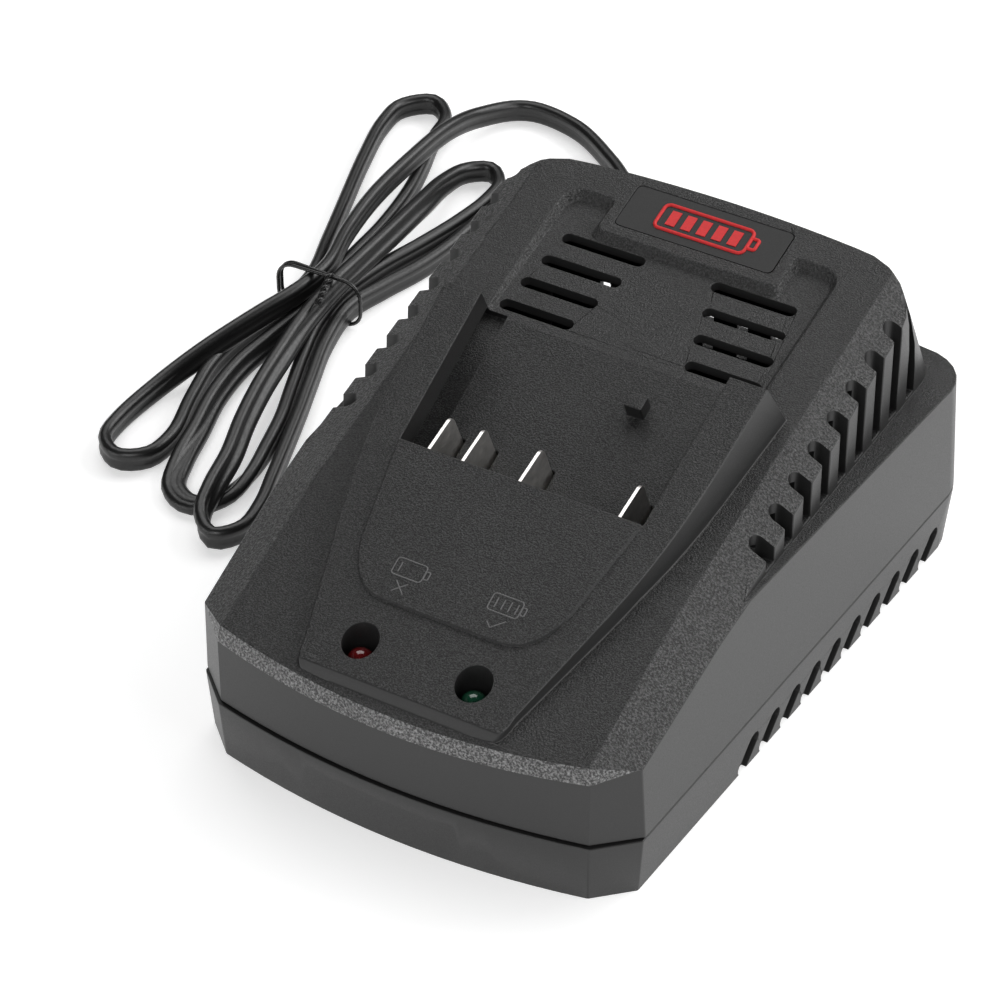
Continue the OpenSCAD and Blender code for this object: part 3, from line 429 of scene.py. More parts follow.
def collar_tree():
    """Collars in a row along Y that shrink from the first size to the last, joined to the input."""
    tree, start, end = new_tree("row_of_collars", Count="Int", Start="Vector", Step="Vector",
        First_Size="Vector", Last_Size="Vector")
    new = tree.nodes.new
    row = new("GeometryNodeMeshLine")
    collar = set_inputs(new("GeometryNodeMeshCylinder"), Vertices=OVAL_SIDES,
        Radius=0.5, Depth=1.0)
    along_y = (math.radians(90), 0, 0)
    turned = set_inputs(new("GeometryNodeTransform"), Rotation=along_y)
    index = new("GeometryNodeInputIndex")
    last = new("ShaderNodeMath")
    last.operation = "SUBTRACT"
    last.inputs[1].default_value = 1.0
    share = new("ShaderNodeMath")
    share.operation = "DIVIDE"
    size = new("ShaderNodeMix")
    size.data_type = "VECTOR"
    place = new("GeometryNodeInstanceOnPoints")
    join = new("GeometryNodeJoinGeometry")
    link_all(tree, (start.outputs["Count"], row.inputs["Count"]),
        (start.outputs["Start"], row.inputs["Start Location"]),
        (start.outputs["Step"], row.inputs["Offset"]),
        (collar.outputs["Mesh"], turned.inputs["Geometry"]),
        (start.outputs["Count"], last.inputs[0]),
        (index.outputs["Index"], share.inputs[0]),
        (last.outputs["Value"], share.inputs[1]),
        (share.outputs["Value"], size.inputs["Factor"]),
        # A Mix node has sockets for every kind of value: 4 and 5 are its two vectors
        (start.outputs["First Size"], size.inputs[4]),
        (start.outputs["Last Size"], size.inputs[5]),
        (row.outputs["Mesh"], place.inputs["Points"]),
        (turned.outputs["Geometry"], place.inputs["Instance"]),
        (size.outputs[1], place.inputs["Scale"]),
        (place.outputs["Instances"], join.inputs["Geometry"]),
        (start.outputs["Geometry"], join.inputs["Geometry"]))
    close_tree(tree, start, end, join.outputs["Geometry"])
    return tree


# %% Growing a piece
WIRE_TREE = wire_tree()
COLLAR_TREE = collar_tree()
SAME_POINT = 1e-7


def grow(obj, tree, sizes):
    """Runs a node tree on a piece and keeps the result as its plain mesh."""
    modifier = obj.modifiers.new(tree.name, "NODES")
    modifier.node_group = tree
    for item in tree.interface.items_tree:
        if item.item_type == "SOCKET" and item.in_out == "INPUT" and item.name in sizes:
            modifier[item.identifier] = sizes[item.name]
    done = evaluated_mesh(obj)
    obj.modifiers.remove(modifier)
    obj.data = done
    print(obj.name, len(done.polygons), "faces grown by", tree.name)
    return obj


def wires(name, paths, radius, finish, sides=8):
    """One piece made of wires along several paths; a path whose ends meet is closed."""
    verts, edges = [], []
    for points in paths:
        closed = (points[0] - points[-1]).length < SAME_POINT
        run = points[:-1] if closed else points
        base = len(verts)
        verts += run
        edges += [(base + i, base + i + 1) for i in range(len(run) - 1)]
        if closed:
            edges.append((base + len(run) - 1, base))
    mesh = bpy.data.meshes.new(name)
    mesh.from_pydata([tuple(v) for v in verts], edges, [])
    sizes = {"Radius": radius, "Sides": sides, "Finish": finish}
    return grow(new_object(name, mesh), WIRE_TREE, sizes)


# %% [markdown]
# ## The cord
# The mains lead is flat: two round cores side by side, 7 mm wide and 3.8 mm thick, with a groove
# down both broad sides. It leaves the rear wall, runs behind the case and lies in a hank of six
# runs in one tie. It is made first, because its length and its room on the table decide the rest.
# A tube lofted through rings suits it best: a curve's bevel can't roll a flat profile at will.

# %% Cord route
CORD_WIDTH = 7.0 * MM
CORD_THICKNESS = 3.8 * MM
ON_EDGE = 90
# Points of the cord in the order they follow each other along it: x, y and height in mm, and the
# roll in degrees where the cord doesn't stand on its edge (0 lays it flat). The first and the last
# row have the same places as in the CAD model.
LEAD_ROUTE = [(0, 121.2, 13.2), (-3, 140, 8), (-18, 153, 4.5), (-45, 161, 3.5), (-70, 170, 3.5),
    (-92, 188, 3.5), (-112, 200, 3.5), (-130, 201, 3.5)]
LEAD_DOWN = [(-138, 188, 6), (-140, 172, 9.6), (-140.6, 150, 10.6), (-140, 128, 10.8),
    (-137, 108, 10.9), (-132.6, 90, 11.2), (-133.5, 76, 11.2, 85), (-137.5, 62, 10.2, 75),
    (-143.5, 44, 7.6, 70), (-148.6, 26, 4.4, 80), (-150, 8, 3.5)]
FIRST_FOLD = [(-148, -1, 3.5), (-141, -5.5, 3.5), (-134, -1, 3.5)]
LEFT_LOOP_UP = [(-132.8, 9, 3.5), (-137.5, 26, 3.5), (-141.5, 44, 3.5), (-141, 60, 3.7),
    (-138.6, 76, 4.3), (-139.2, 92, 4.3), (-144.6, 109, 3.8), (-151.8, 131, 3.5),
    (-158.8, 153, 3.5), (-163.6, 172, 3.5)]
SECOND_FOLD = [(-163.6, 183, 3.5), (-156, 190, 3.5), (-148.2, 184, 3.5)]
LEFT_LOOP_DOWN = [(-145.6, 172, 3.5), (-140.8, 157, 3.5), (-137.2, 142, 3.5), (-135, 125, 3.5),
    (-134.2, 108, 4), (-133.6, 92, 4.4), (-132, 77, 4.4, 80), (-133, 61, 4.2, 60),
    (-134, 46, 4, 50), (-132.4, 31, 3.8, 50), (-128.6, 16, 3.2, 40), (-125.4, 3, 2.9, 20)]
THIRD_FOLD = [(-121, -7.5, 2.3, 0), (-113, -11, 2.3, 0), (-106.6, -5, 3.0, 20)]
MIDDLE_LOOP_UP = [(-105.6, 6, 3.2, 60), (-107.5, 18, 3.5), (-111, 31, 3.5), (-115.4, 43, 3.5),
    (-120.4, 57, 3.8), (-124.6, 72, 4.4), (-126.2, 88, 4.4), (-124.2, 105, 4.2), (-120, 122, 3.8),
    (-116.4, 139, 3.5), (-114.9, 151, 3.5)]
FOURTH_FOLD = [(-116, 161, 3.5), (-121.8, 166.5, 3.6), (-127.6, 161.5, 4.4)]
MIDDLE_LOOP_DOWN = [(-128.8, 150, 6.4, 75), (-127, 134, 9, 55), (-125.8, 116, 10.6, 55),
    (-125.6, 98, 11.2, 60), (-125.6, 82, 11.4, 65), (-124.4, 65, 11, 55), (-122, 50, 10.4, 45),
    (-119.4, 35, 9.6, 45), (-115.6, 20, 8.8, 45), (-111, 6, 8.2, 45), (-108, -8, 7.4, 55)]
FIFTH_FOLD = [(-105.5, -17, 5.4, 75), (-99.5, -21.5, 3.8), (-94.2, -15, 3.5)]
PLUG_UP = [(-95, -5, 3.5), (-99, 8, 3.5), (-103.2, 21, 3.5), (-107.8, 35, 3.5), (-113, 50, 3.8),
    (-118.6, 67, 4.2), (-121.4, 84, 4.4), (-118.6, 98, 4), (-114.8, 112, 3.6), (-112.4, 126, 3.5),
    (-111.6, 140, 3.5), (-110.2, 153, 3.5)]
PLUG_ROUTE = [(-106, 162, 3.5), (-97, 167, 3.5), (-88, 163, 3.5), (-83, 153, 3.5), (-82, 140, 3.5),
    (-78, 127, 4), (-69, 117, 6), (-58, 113, 7.5)]
ROUTE = [p if len(p) == 4 else (*p, ON_EDGE) for p in LEAD_ROUTE + LEAD_DOWN + FIRST_FOLD
    + LEFT_LOOP_UP + SECOND_FOLD + LEFT_LOOP_DOWN + THIRD_FOLD + MIDDLE_LOOP_UP + FOURTH_FOLD
    + MIDDLE_LOOP_DOWN + FIFTH_FOLD + PLUG_UP + PLUG_ROUTE]
print("cord route:", len(ROUTE), "points chosen by hand")

# %% [markdown]
# The curve through those points is a centripetal Catmull-Rom spline, which makes no loops of its
# own where points lie close together. It carries the roll as a fourth coordinate. Points at even
# steps are then picked from it, and each is lifted where its ring would dip into the table.

# %% Smooth path
SPLIT = 24
RING_STEP = 2.5


def gap_between(a, b):
    """Distance between two points of the route, without their roll."""
    return (Vector(b[:3]) - Vector(a[:3])).length


def spline_points(a, b, c, d):
    """Points from b up to c on the curve through all four."""
    k0, k1 = 0.0, gap_between(a, b) ** 0.5
    k2 = k1 + gap_between(b, c) ** 0.5
    k3 = k2 + gap_between(c, d) ** 0.5
    points = []
    for n in range(SPLIT):
        t = k1 + (k2 - k1) * n / SPLIT
        a1 = a * ((k1 - t) / (k1 - k0)) + b * ((t - k0) / (k1 - k0))
        a2 = b * ((k2 - t) / (k2 - k1)) + c * ((t - k1) / (k2 - k1))
        a3 = c * ((k3 - t) / (k3 - k2)) + d * ((t - k2) / (k3 - k2))
        b1 = a1 * ((k2 - t) / (k2 - k0)) + a2 * ((t - k0) / (k2 - k0))
        b2 = a2 * ((k3 - t) / (k3 - k1)) + a3 * ((t - k1) / (k3 - k1))
        points.append(b1 * ((k2 - t) / (k2 - k1)) + b2 * ((t - k1) / (k2 - k1)))
    return points


def smooth_path(points, step):
    """Points every step along the curve through the route, each with its roll."""
    p = [Vector(q) for q in points]
    p = [2 * p[0] - p[1]] + p + [2 * p[-1] - p[-2]]
    dense = []
    for i in range(1, len(p) - 2):
        dense += spline_points(*p[i - 1:i + 3])
    dense.append(p[-2])
    path = [dense[0]]
    left = step
    for a, b in zip(dense, dense[1:]):
        gap = gap_between(a, b)
        while gap >= left > 0:
            a = a.lerp(b, left / gap)
            path.append(a)
            gap = gap_between(a, b)
            left = step
        left -= gap
    if gap_between(path[-1], dense[-1]) < step / 2:
        path.pop()
    path.append(dense[-1])
    return path


path = smooth_path(ROUTE, RING_STEP)
for p in path:
    core_lift = (CORD_WIDTH - CORD_THICKNESS) / 2 * abs(math.sin(math.radians(p[3])))
    reach = CORD_THICKNESS / 2 + core_lift
    p[2] = max(p[2], (reach + TABLE_GAP) / MM)
centres = [Vector(p[:3]) * MM for p in path]
rolls = [math.radians(p[3]) for p in path]


# %% Flat two-core profile
def cord_profile(arc=112, steps=9, groove_at=0.72):
    """Outline of the flat cord in metres: x across its width, y through its thickness. Each core
    shows an arc to both sides, in degrees, and the groove lies at a share of a core's radius."""
    r = CORD_THICKNESS / 2
    offset = CORD_WIDTH / 2 - r
    turns = [math.radians(-arc + 2 * arc * i / (steps - 1)) for i in range(steps)]
    half = [(offset + r * math.cos(a), r * math.sin(a)) for a in turns] + [(0.0, r * groove_at)]
    return half + [(-x, -y) for x, y in half]


def cord_ring(i):
    """The profile set across the path at point i, level with the floor at roll 0."""
    ahead = centres[min(i + 1, len(centres) - 1)] - centres[max(i - 1, 0)]
    ahead.normalize()
    side = ahead.cross(Vector((0, 0, 1))).normalized()
    up = side.cross(ahead)
    wide = side * math.cos(rolls[i]) + up * math.sin(rolls[i])
    thick = -side * math.sin(rolls[i]) + up * math.cos(rolls[i])
    return [centres[i] + wide * x + thick * y for x, y in cord_profile()]


cord = lofted("cord", [cord_ring(i) for i in range(len(centres))])
print("cord mesh:", len(cord.data.polygons), "faces")

# %% [markdown]
# ## Floor, world and lamps
# Black plastic shows its form by what it mirrors, so the studio is a pale floor and a few large
# soft lamps with a dim ceiling. The floor has a glow that only camera, mirrored and refracted rays
# see, so it is white to them, keeps its soft shadow, and casts no more light on the charger.

# %% Floor
FLOOR_HALF = 3.0
FLOOR_GLOW = 0.45
WHITE = (1, 1, 1, 1)


def floor_paper():
    material, tree, shader = new_material("floor_paper", (0.8, 0.8, 0.8), 0.9)
    set_inputs(shader, Specular_IOR_Level=0.1)
    new = tree.nodes.new
    glow = set_inputs(new("ShaderNodeEmission"), Color=WHITE, Strength=FLOOR_GLOW)
    both = new("ShaderNodeAddShader")
    pick = new("ShaderNodeMixShader")
    rays = new("ShaderNodeLightPath")
    seen = rays.outputs["Is Camera Ray"]
    for kind in ("Is Glossy Ray", "Is Transmission Ray"):
        either = new("ShaderNodeMath")
        either.operation = "MAXIMUM"
        link_all(tree, (seen, either.inputs[0]), (rays.outputs[kind], either.inputs[1]))
        seen = either.outputs["Value"]
    out = next(n for n in tree.nodes if n.type == "OUTPUT_MATERIAL")
    link_all(tree, (shader.outputs["BSDF"], both.inputs[0]),
        (glow.outputs["Emission"], both.inputs[1]),
        (seen, pick.inputs["Fac"]),
        (shader.outputs["BSDF"], pick.inputs[1]),
        (both.outputs["Shader"], pick.inputs[2]),
        (pick.outputs["Shader"], out.inputs["Surface"]))
    return material


floor = mesh_object("floor", [(sx * FLOOR_HALF, sy * FLOOR_HALF, 0)
    for sx, sy in ((-1, -1), (1, -1), (1, 1), (-1, 1))], [(0, 1, 2, 3)])
floor.data.materials.append(floor_paper())
print("floor", 2 * FLOOR_HALF, "m wide")

# %% World
WORLD_LEVEL = 0.03
world = bpy.data.worlds.new("studio")
bpy.context.scene.world = world
world.use_nodes = True
world_shader = next(n for n in world.node_tree.nodes if n.type == "BACKGROUND")
set_inputs(world_shader, Color=WHITE, Strength=WORLD_LEVEL)
print("world level", WORLD_LEVEL)


# %% Soft lamps
LAMP_AIM = Vector((0, 0, 0.05))


def softbox(name, azimuth, elevation, distance, width, height, power):
    """Wide lamp that faces the charger."""
    data = bpy.data.lights.new(name, "AREA")
    data.shape = "RECTANGLE"
    data.size = width
    data.size_y = height
    data.energy = power
    lamp = new_object(name, data)
    away = outwards(azimuth, elevation)
    lamp.location = LAMP_AIM + away * distance
    lamp.rotation_mode = "QUATERNION"
    lamp.rotation_quaternion = away.to_track_quat("Z", "Y")


# Each lamp's azimuth and elevation in degrees, distance, width and height in metres, and watts
LAMPS = [
    ("rear_left_softbox", 218, 56, 1.6, 1.3, 1.2, 12),
    ("right_softbox", 95, 22, 1.5, 1.3, 0.9, 12),
    ("rear_right_softbox", 150, 35, 1.6, 1.2, 0.9, 16),
    ("front_softbox", 15, 35, 1.6, 1.0, 0.8, 10),
    ("low_front_left_softbox", -35, 12, 1.5, 1.3, 0.4, 5),
]
for row in LAMPS:
    softbox(*row)
bpy.context.scene.view_settings.view_transform = "Standard"
print(len(LAMPS), "lamps")

# %% [markdown]
# ## Black plastic
# The case is black ABS. Its top is spark-eroded: a pebbled grain that catches the light as fine
# speckle, coarser on the side facets and on the strip along the front, which are also given a paler
# tone as painted highlight. Its walls are smooth satin. One function makes every moulded finish
# from its tone, grain size and depth. The grain drives colour, roughness and bump together: a
# pebble's crown is a little smoother than its foot, and it is painted paler, a painted glint for
# the light it catches.

# %% Plastic finishes
# Pebble crowns are painted paler than their feet: a painted glint for the light they catch.
CROWN_GLINT_GAIN = 3.6
CROWN_FOOT, CROWN_TOP = 0.42, 0.70
CLOUD_SIZE = 38
ROUGHNESS_SWING = 0.06


def moulded_plastic(name, level, roughness, grain, depth, speckle, cloud=0.12):
    """Plastic with a grain: tone as a grey level, grain and depth in mm, speckle and cloud as
    shares of the tone; speckle paints the pebble crowns paler, a painted glint."""
    tone = grey(level)
    material, tree, shader = new_material(name, (tone, tone, tone), roughness)
    pebbles = noise(tree, grain, 3.0, 0.6)
    clouds = noise(tree, CLOUD_SIZE, 3.0)
    # The crowns' paler colour is a painted glint; their lower roughness is real.
    crown = spread(tree, pebbles, 0.0, 1.0, CROWN_FOOT, CROWN_TOP)
    low, high = tone * (1 - speckle), tone * (1 + CROWN_GLINT_GAIN * speckle)
    painted_glint_grain = blend_colours(tree, crown, (low, low, low), (high, high, high))
    shade = spread(tree, clouds, 1 - cloud, 1 + cloud)
    mixed = tree.nodes.new("ShaderNodeVectorMath")
    mixed.operation = "SCALE"
    rough = spread(tree, pebbles, roughness + ROUGHNESS_SWING, roughness - ROUGHNESS_SWING)
    link_all(tree, (painted_glint_grain, mixed.inputs[0]), (shade, mixed.inputs["Scale"]),
        (mixed.outputs[0], shader.inputs["Base Color"]), (rough, shader.inputs["Roughness"]))
    add_bump(tree, shader, pebbles, depth)
    return material


top_plastic = moulded_plastic("top_plastic", 27, 0.38, 0.44, 0.34, 0.9)
# The facets and the strip have a coarser grain, and their paler tone is painted highlight.
facet_grain_painted_highlight = moulded_plastic("facet_grain_painted_highlight", 40, 0.36, 0.56, 0.55, 0.9)
strip_painted_highlight = moulded_plastic("strip_painted_highlight", 86, 0.36, 0.56, 0.6, 0.7)
satin_plastic = moulded_plastic("satin_plastic", 29, 0.40, 0.35, 0.012, 0.06, 0.06)
base_plastic = moulded_plastic("base_plastic", 25, 0.42, 0.35, 0.015, 0.06, 0.06)
plate_plastic = moulded_plastic("plate_plastic", 18, 0.6, 0.30, 0.006, 0.04, 0.04)
cord_sheath = moulded_plastic("cord_sheath", 20, 0.36, 0.9, 0.02, 0.10)
plug_plastic = moulded_plastic("plug_plastic", 32, 0.40, 0.35, 0.03, 0.15)
tie_plastic = moulded_plastic("tie_plastic", 24, 0.28, 0.8, 0.01, 0.1)
nylon = moulded_plastic("nylon", 52, 0.45, 0.4, 0.01, 0.1)
epoxy = moulded_plastic("epoxy", 30, 0.5, 0.3, 0.02, 0.15)
ferrite = moulded_plastic("ferrite", 54, 0.6, 0.3, 0.05, 0.25)
# Pale grey of the dock's moulded sign lines: a painted highlight.
painted_highlight_grey = moulded_plastic("painted_highlight_grey", 92, 0.42, 0.3, 0.01, 0.08)
print(len(bpy.data.materials), "materials so far")

# %% [markdown]
# ## Clear, metal and electronic finishes
# Lamp domes are tinted clear epoxy, contacts are bright nickel that years of batteries have
# scratched lengthwise, and the parts inside follow what such parts are: lacquered laminate,
# enamelled copper, polyester tape, shrunk sleeves, glass and rolled aluminium. They show only
# through slots, but anyone who takes the lid off sees them.

# %% Other finishes
def clear_lens(name, tint, roughness):
    """Tinted epoxy under a clear gloss."""
    material, tree, shader = new_material(name, tint, roughness, ior=1.52)
    set_inputs(shader, Transmission_Weight=0.55, Coat_Weight=0.6, Coat_Roughness=0.04)
    add_bump(tree, shader, noise(tree, 1.6, 1.0), 0.01)
    return material


def shaded(base, share):
    return tuple(min(c * share, 1) for c in base)


def metal(name, base, roughness, scratch, depth, across=(1, 1, 1), dull=0.8, patch=3,
        smoother=0.08, rougher=0.1):
    """Metal with dull patches and fine marks: a small value in across makes long marks."""
    material, tree, shader = new_material(name, base, roughness, metallic=1.0)
    marks = noise(tree, scratch, across=across)
    patches = spread(tree, noise(tree, patch), 0, 1)
    link_all(tree,
        (blend_colours(tree, patches, shaded(base, dull), base), shader.inputs["Base Color"]),
        (spread(tree, marks, roughness - smoother, roughness + rougher),
            shader.inputs["Roughness"]))
    add_bump(tree, shader, marks, depth)
    return material


def tinted(name, base, roughness, size, depth, contrast=0.2):
    """Coloured coating whose tone wanders a little."""
    material, tree, shader = new_material(name, base, roughness)
    pattern = noise(tree, size)
    mixed = blend_colours(tree, spread(tree, pattern, 0, 1), shaded(base, 1 - contrast),
        shaded(base, 1 + contrast))
    tree.links.new(mixed, shader.inputs["Base Color"])
    add_bump(tree, shader, pattern, depth)
    return material


def wound(name, base, roughness, turn, axis, depth, dark=0.6):
    """Coating with even turns of wire or tape along one axis, each turn mm wide."""
    material, tree, shader = new_material(name, base, roughness)
    turns = tree.nodes.new("ShaderNodeTexWave")
    turns.bands_direction = axis
    # At scale 1 a Wave texture has one band in pi / 10 of its coordinate
    set_inputs(turns, Scale=math.pi / 10 / (turn * MM), Distortion=0.3)
    tree.links.new(object_coordinates(tree), turns.inputs["Vector"])
    mixed = blend_colours(tree, turns.outputs["Fac"], shaded(base, dark), base)
    tree.links.new(mixed, shader.inputs["Base Color"])
    add_bump(tree, shader, turns.outputs["Fac"], depth)
    return material


# %% Values of the other finishes
red_lens = clear_lens("red_lens", (0.22, 0.006, 0.008), 0.10)
green_lens = clear_lens("green_lens", (0.010, 0.10, 0.05), 0.10)
nickel = metal("nickel", (0.84, 0.82, 0.79), 0.36, 0.25, 0.004, (1, 0.15, 0.4))
zinc = metal("zinc", (0.55, 0.56, 0.58), 0.34, 0.4, 0.01)
aluminium = metal("aluminium", (0.62, 0.63, 0.64), 0.36, 0.3, 0.01, (1, 1, 0.1))
brass = metal("brass", (0.62, 0.52, 0.32), 0.30, 0.4, 0.008)
laminate = tinted("laminate", (0.02, 0.13, 0.05), 0.35, 1.4, 0.02, 0.35)
# The lamp board is near-black: a painted shade for the dark inside the lamp holes.
painted_shade_laminate = tinted("painted_shade_laminate", (0.010, 0.012, 0.011), 0.4, 1.4, 0.02, 0.35)
insulation = tinted("insulation", (0.28, 0.05, 0.04), 0.45, 0.8, 0.01)
ivory = tinted("ivory", (0.58, 0.54, 0.44), 0.5, 0.6, 0.01, 0.08)
sleeve = tinted("sleeve", (0.02, 0.035, 0.10), 0.28, 5, 0.03, 0.15)
fuse_glass = tinted("fuse_glass", (0.80, 0.82, 0.80), 0.06, 4, 0.005, 0.05)
mark_red = tinted("mark_red", (0.56, 0.010, 0.012), 0.6, 0.8, 0.01, 0.08)
coil_tape = wound("coil_tape", (0.62, 0.42, 0.03), 0.3, 6, "Z", 0.03)
copper = wound("copper", (0.52, 0.20, 0.07), 0.25, 0.8, "Y", 0.08)
print(len(bpy.data.materials), "materials")

# %% [markdown]
# ## The two shells
# Each shell is a welded copy of its CAD node with its edges rounded, as a mould leaves them. The
# upper shell has four finishes: satin walls, a pebbled top, a coarser grain on its side facets, and
# a strip on its front bevel; the facets and the strip are given a paler tone as painted highlight.
# A face's slope tells which it is, so the choice needs no list of faces.

# %% Shells
# Parts of a face's normal: upwards for walls, bevels and the dock's lip, sideways for facets
WALL_UP = 0.16
BEVEL_UP = 0.30
LIP_UP = 0.7
FACET_LEAN = 0.30
FRONT_BAND = 30 * MM
LIP_FRONT = -86 * MM
EDGE_ROUND = 0.4 * MM
SATIN, GRAINED, COARSE_PAINTED_HIGHLIGHT, STRIP_PAINTED_HIGHLIGHT = range(4)
front_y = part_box("top_shell")[0][1]


def upper_zone(centre, normal):
    """The finish of a face of the upper shell."""
    if normal.z < WALL_UP:
        return SATIN
    if normal.z < BEVEL_UP:
        # The front strip's paler tone is painted highlight.
        return STRIP_PAINTED_HIGHLIGHT if centre.y < front_y + FRONT_BAND else SATIN
    if abs(normal.x) > FACET_LEAN:
        # The side facets' paler tone is painted highlight.
        return COARSE_PAINTED_HIGHLIGHT
    return SATIN if centre.y < LIP_FRONT and normal.z < LIP_UP else GRAINED


upper_case = rounded_copy("top_shell", "upper_case", EDGE_ROUND, zone=upper_zone)
finish_piece(upper_case, [satin_plastic, top_plastic, facet_grain_painted_highlight, strip_painted_highlight],
    ("top_shell",))
lower_case = rounded_copy("bottom_shell", "lower_case", EDGE_ROUND)
finish_piece(lower_case, [base_plastic], ("bottom_shell",))

# %% [markdown]
# ## Marks on the dock and the label
# Two small pictograms beside the lamps tell what the lamps mean, and a plate carries a plain mark.
# They are generic battery signs: raised hair lines, grown as thin wires half sunk in the surface
# they lie on. The dock's lines are moulded in the black case, and their pale grey is a painted
# highlight. A sign is drawn on a flat sheet first and then laid on its slope.

# %% Slopes and signs
def slope_axes(angle):
    """Uphill direction and outward direction of a face that rises towards the rear."""
    return (Vector((0, math.cos(angle), math.sin(angle))),
        Vector((0, -math.sin(angle), math.cos(angle))))


def laid(points, at, ahead):
    """Points of a flat drawing in mm laid on a slope."""
    return [at + Vector((1, 0, 0)) * (x * MM) + ahead * (y * MM) for x, y in points]


def rounded_box(x, y, w, h, r, steps=4):
    """Closed outline of a box with round corners, around (x, y)."""
    points = []
    for k, (sx, sy) in enumerate(((1, 1), (-1, 1), (-1, -1), (1, -1))):
        for i in range(steps + 1):
            a = math.radians(90 * k + 90 * i / steps)
            points.append((x + sx * (w / 2 - r) + r * math.cos(a),
                y + sy * (h / 2 - r) + r * math.sin(a)))
    return points + points[:1]


def battery_sign(x, y, bars, tick):
    """Outlines in mm of a battery with some bars and a tick, or a cross, below it."""
    lines = [rounded_box(x, y, 8.4, 4.8, 0.9), rounded_box(x + 4.9, y, 1.2, 2.2, 0.4)]
    lines += [[(x - 2.6 + 1.9 * i, y - 1.4), (x - 2.6 + 1.9 * i, y + 1.4)] for i in range(bars)]
    if tick:
        lines.append([(x - 2.4, y - 5.4), (x - 0.9, y - 6.8), (x + 2.2, y - 3.9)])
    else:
        lines += [[(x - 1.6, y - 6.8), (x + 1.6, y - 3.8)],
            [(x - 1.6, y - 3.8), (x + 1.6, y - 6.8)]]
    return lines


# %% Signs on the dock
DOCK_SLOPE = math.radians(23.07)
DOCK_FRONT = (-88.8 * MM, 43.7 * MM)
SHIELD_LIFT = 0.8 * MM
LINE_RADIUS = 0.17 * MM
SIGN_X, SIGN_Y = 13.5, 31
dock_ahead, dock_out = slope_axes(DOCK_SLOPE)
dock_at = Vector((0, *DOCK_FRONT)) + dock_out * SHIELD_LIFT
sign_paths = []
for x, bars, tick in ((-SIGN_X, 1, False), (SIGN_X, 4, True)):
    sign_paths += [laid(line, dock_at, dock_ahead) for line in battery_sign(x, SIGN_Y, bars, tick)]
dock_signs = wires("dock_signs", sign_paths, LINE_RADIUS, painted_highlight_grey, 6)
finish_piece(dock_signs, [painted_highlight_grey])

# %% Sign on the label
LABEL_SLOPE = math.radians(14.3)
LABEL_LIFT = 0.25 * MM
MARK_RADIUS = 0.5 * MM
BARS, BAR_PITCH, BAR_WIDTH, BAR_HEIGHT = 5, 4.5, 2.7, 5
BAR_FOOT, BAR_TOP = -0.1 * MM, 0.2 * MM
label_ahead, label_out = slope_axes(LABEL_SLOPE)
label_low, label_high = (Vector(corner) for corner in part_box("label_plate"))
label_face = Vector((0, (label_low.y + label_high.y) / 2, (label_low.z + label_high.z) / 2))
label_face += label_out * LABEL_LIFT
label_lines = [rounded_box(0, 0, 26, 8.4, 1.6), rounded_box(14.2, 0, 2.2, 3.6, 0.6)]
label_mark = wires("label_mark", [laid(line, label_face, label_ahead) for line in label_lines],
    MARK_RADIUS, mark_red)
finish_piece(label_mark, [mark_red])


def charge_bar(x):
    """Vertices and faces of a low block on the label, around x in mm."""
    corners = [(x + sx * BAR_WIDTH / 2, sy * BAR_HEIGHT / 2)
        for sx, sy in ((-1, -1), (1, -1), (1, 1), (-1, 1))]
    low = laid(corners, label_face + label_out * BAR_FOOT, label_ahead)
    high = laid(corners, label_face + label_out * BAR_TOP, label_ahead)
    sides = [(i, (i + 1) % 4, (i + 1) % 4 + 4, i + 4) for i in range(4)]
    return low + high, [(3, 2, 1, 0), (4, 5, 6, 7), *sides]


bar_places = [BAR_PITCH * (i - (BARS - 1) / 2) for i in range(BARS)]
label_bars = mesh_object("label_bars", *joined(charge_bar(x) for x in bar_places))
print("label bars:", len(label_bars.data.polygons), "faces")
finish_piece(label_bars, [mark_red], smooth=False)

# %% [markdown]
# ## Lamps
# Behind each hole sits a round-headed lamp of tinted epoxy. What shows through its dome are the two
# metal posts that carry the chip, and they make an unlit lamp look deep, so each lamp gets them.

# %% Lamp posts inside the domes
POST_FROM_FOOT, POST_FROM_HEAD = 1.2 * MM, 3.0 * MM
POST_ASIDE = 0.6 * MM
POST_RADIUS = 0.35 * MM


def lamp_core(node):
    """Paths of the two posts in a lamp."""
    low, high = (Vector(corner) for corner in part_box(node))
    x, y = (low.x + high.x) / 2, (low.y + high.y) / 2
    heights = (low.z + POST_FROM_FOOT, high.z - POST_FROM_HEAD)
    return [[Vector((x + side * POST_ASIDE, y, z)) for z in heights] for side in (-1, 1)]


lamp_posts = wires("lamp_posts", lamp_core("red_lamp") + lamp_core("green_lamp"), POST_RADIUS,
    nickel)
finish_piece(lamp_posts, [nickel])

# %% [markdown]
# Round each lamp a short tube hangs from the dock, which keeps the light of one lamp out of the
# other hole and hides the inside of the case. It is a ring of four edges turned round the lamp's
# axis, and its top follows the slope of the dock, a little inside the wall.

# %% Light tubes
TUBE_INSIDE = 4.7 * MM
TUBE_OUTSIDE = 5.6 * MM
TUBE_SIDES = 48
TUBE_IN_WALL = 1.0 * MM


def dock_height(y):
    return DOCK_FRONT[1] + (y - DOCK_FRONT[0]) * math.tan(DOCK_SLOPE)


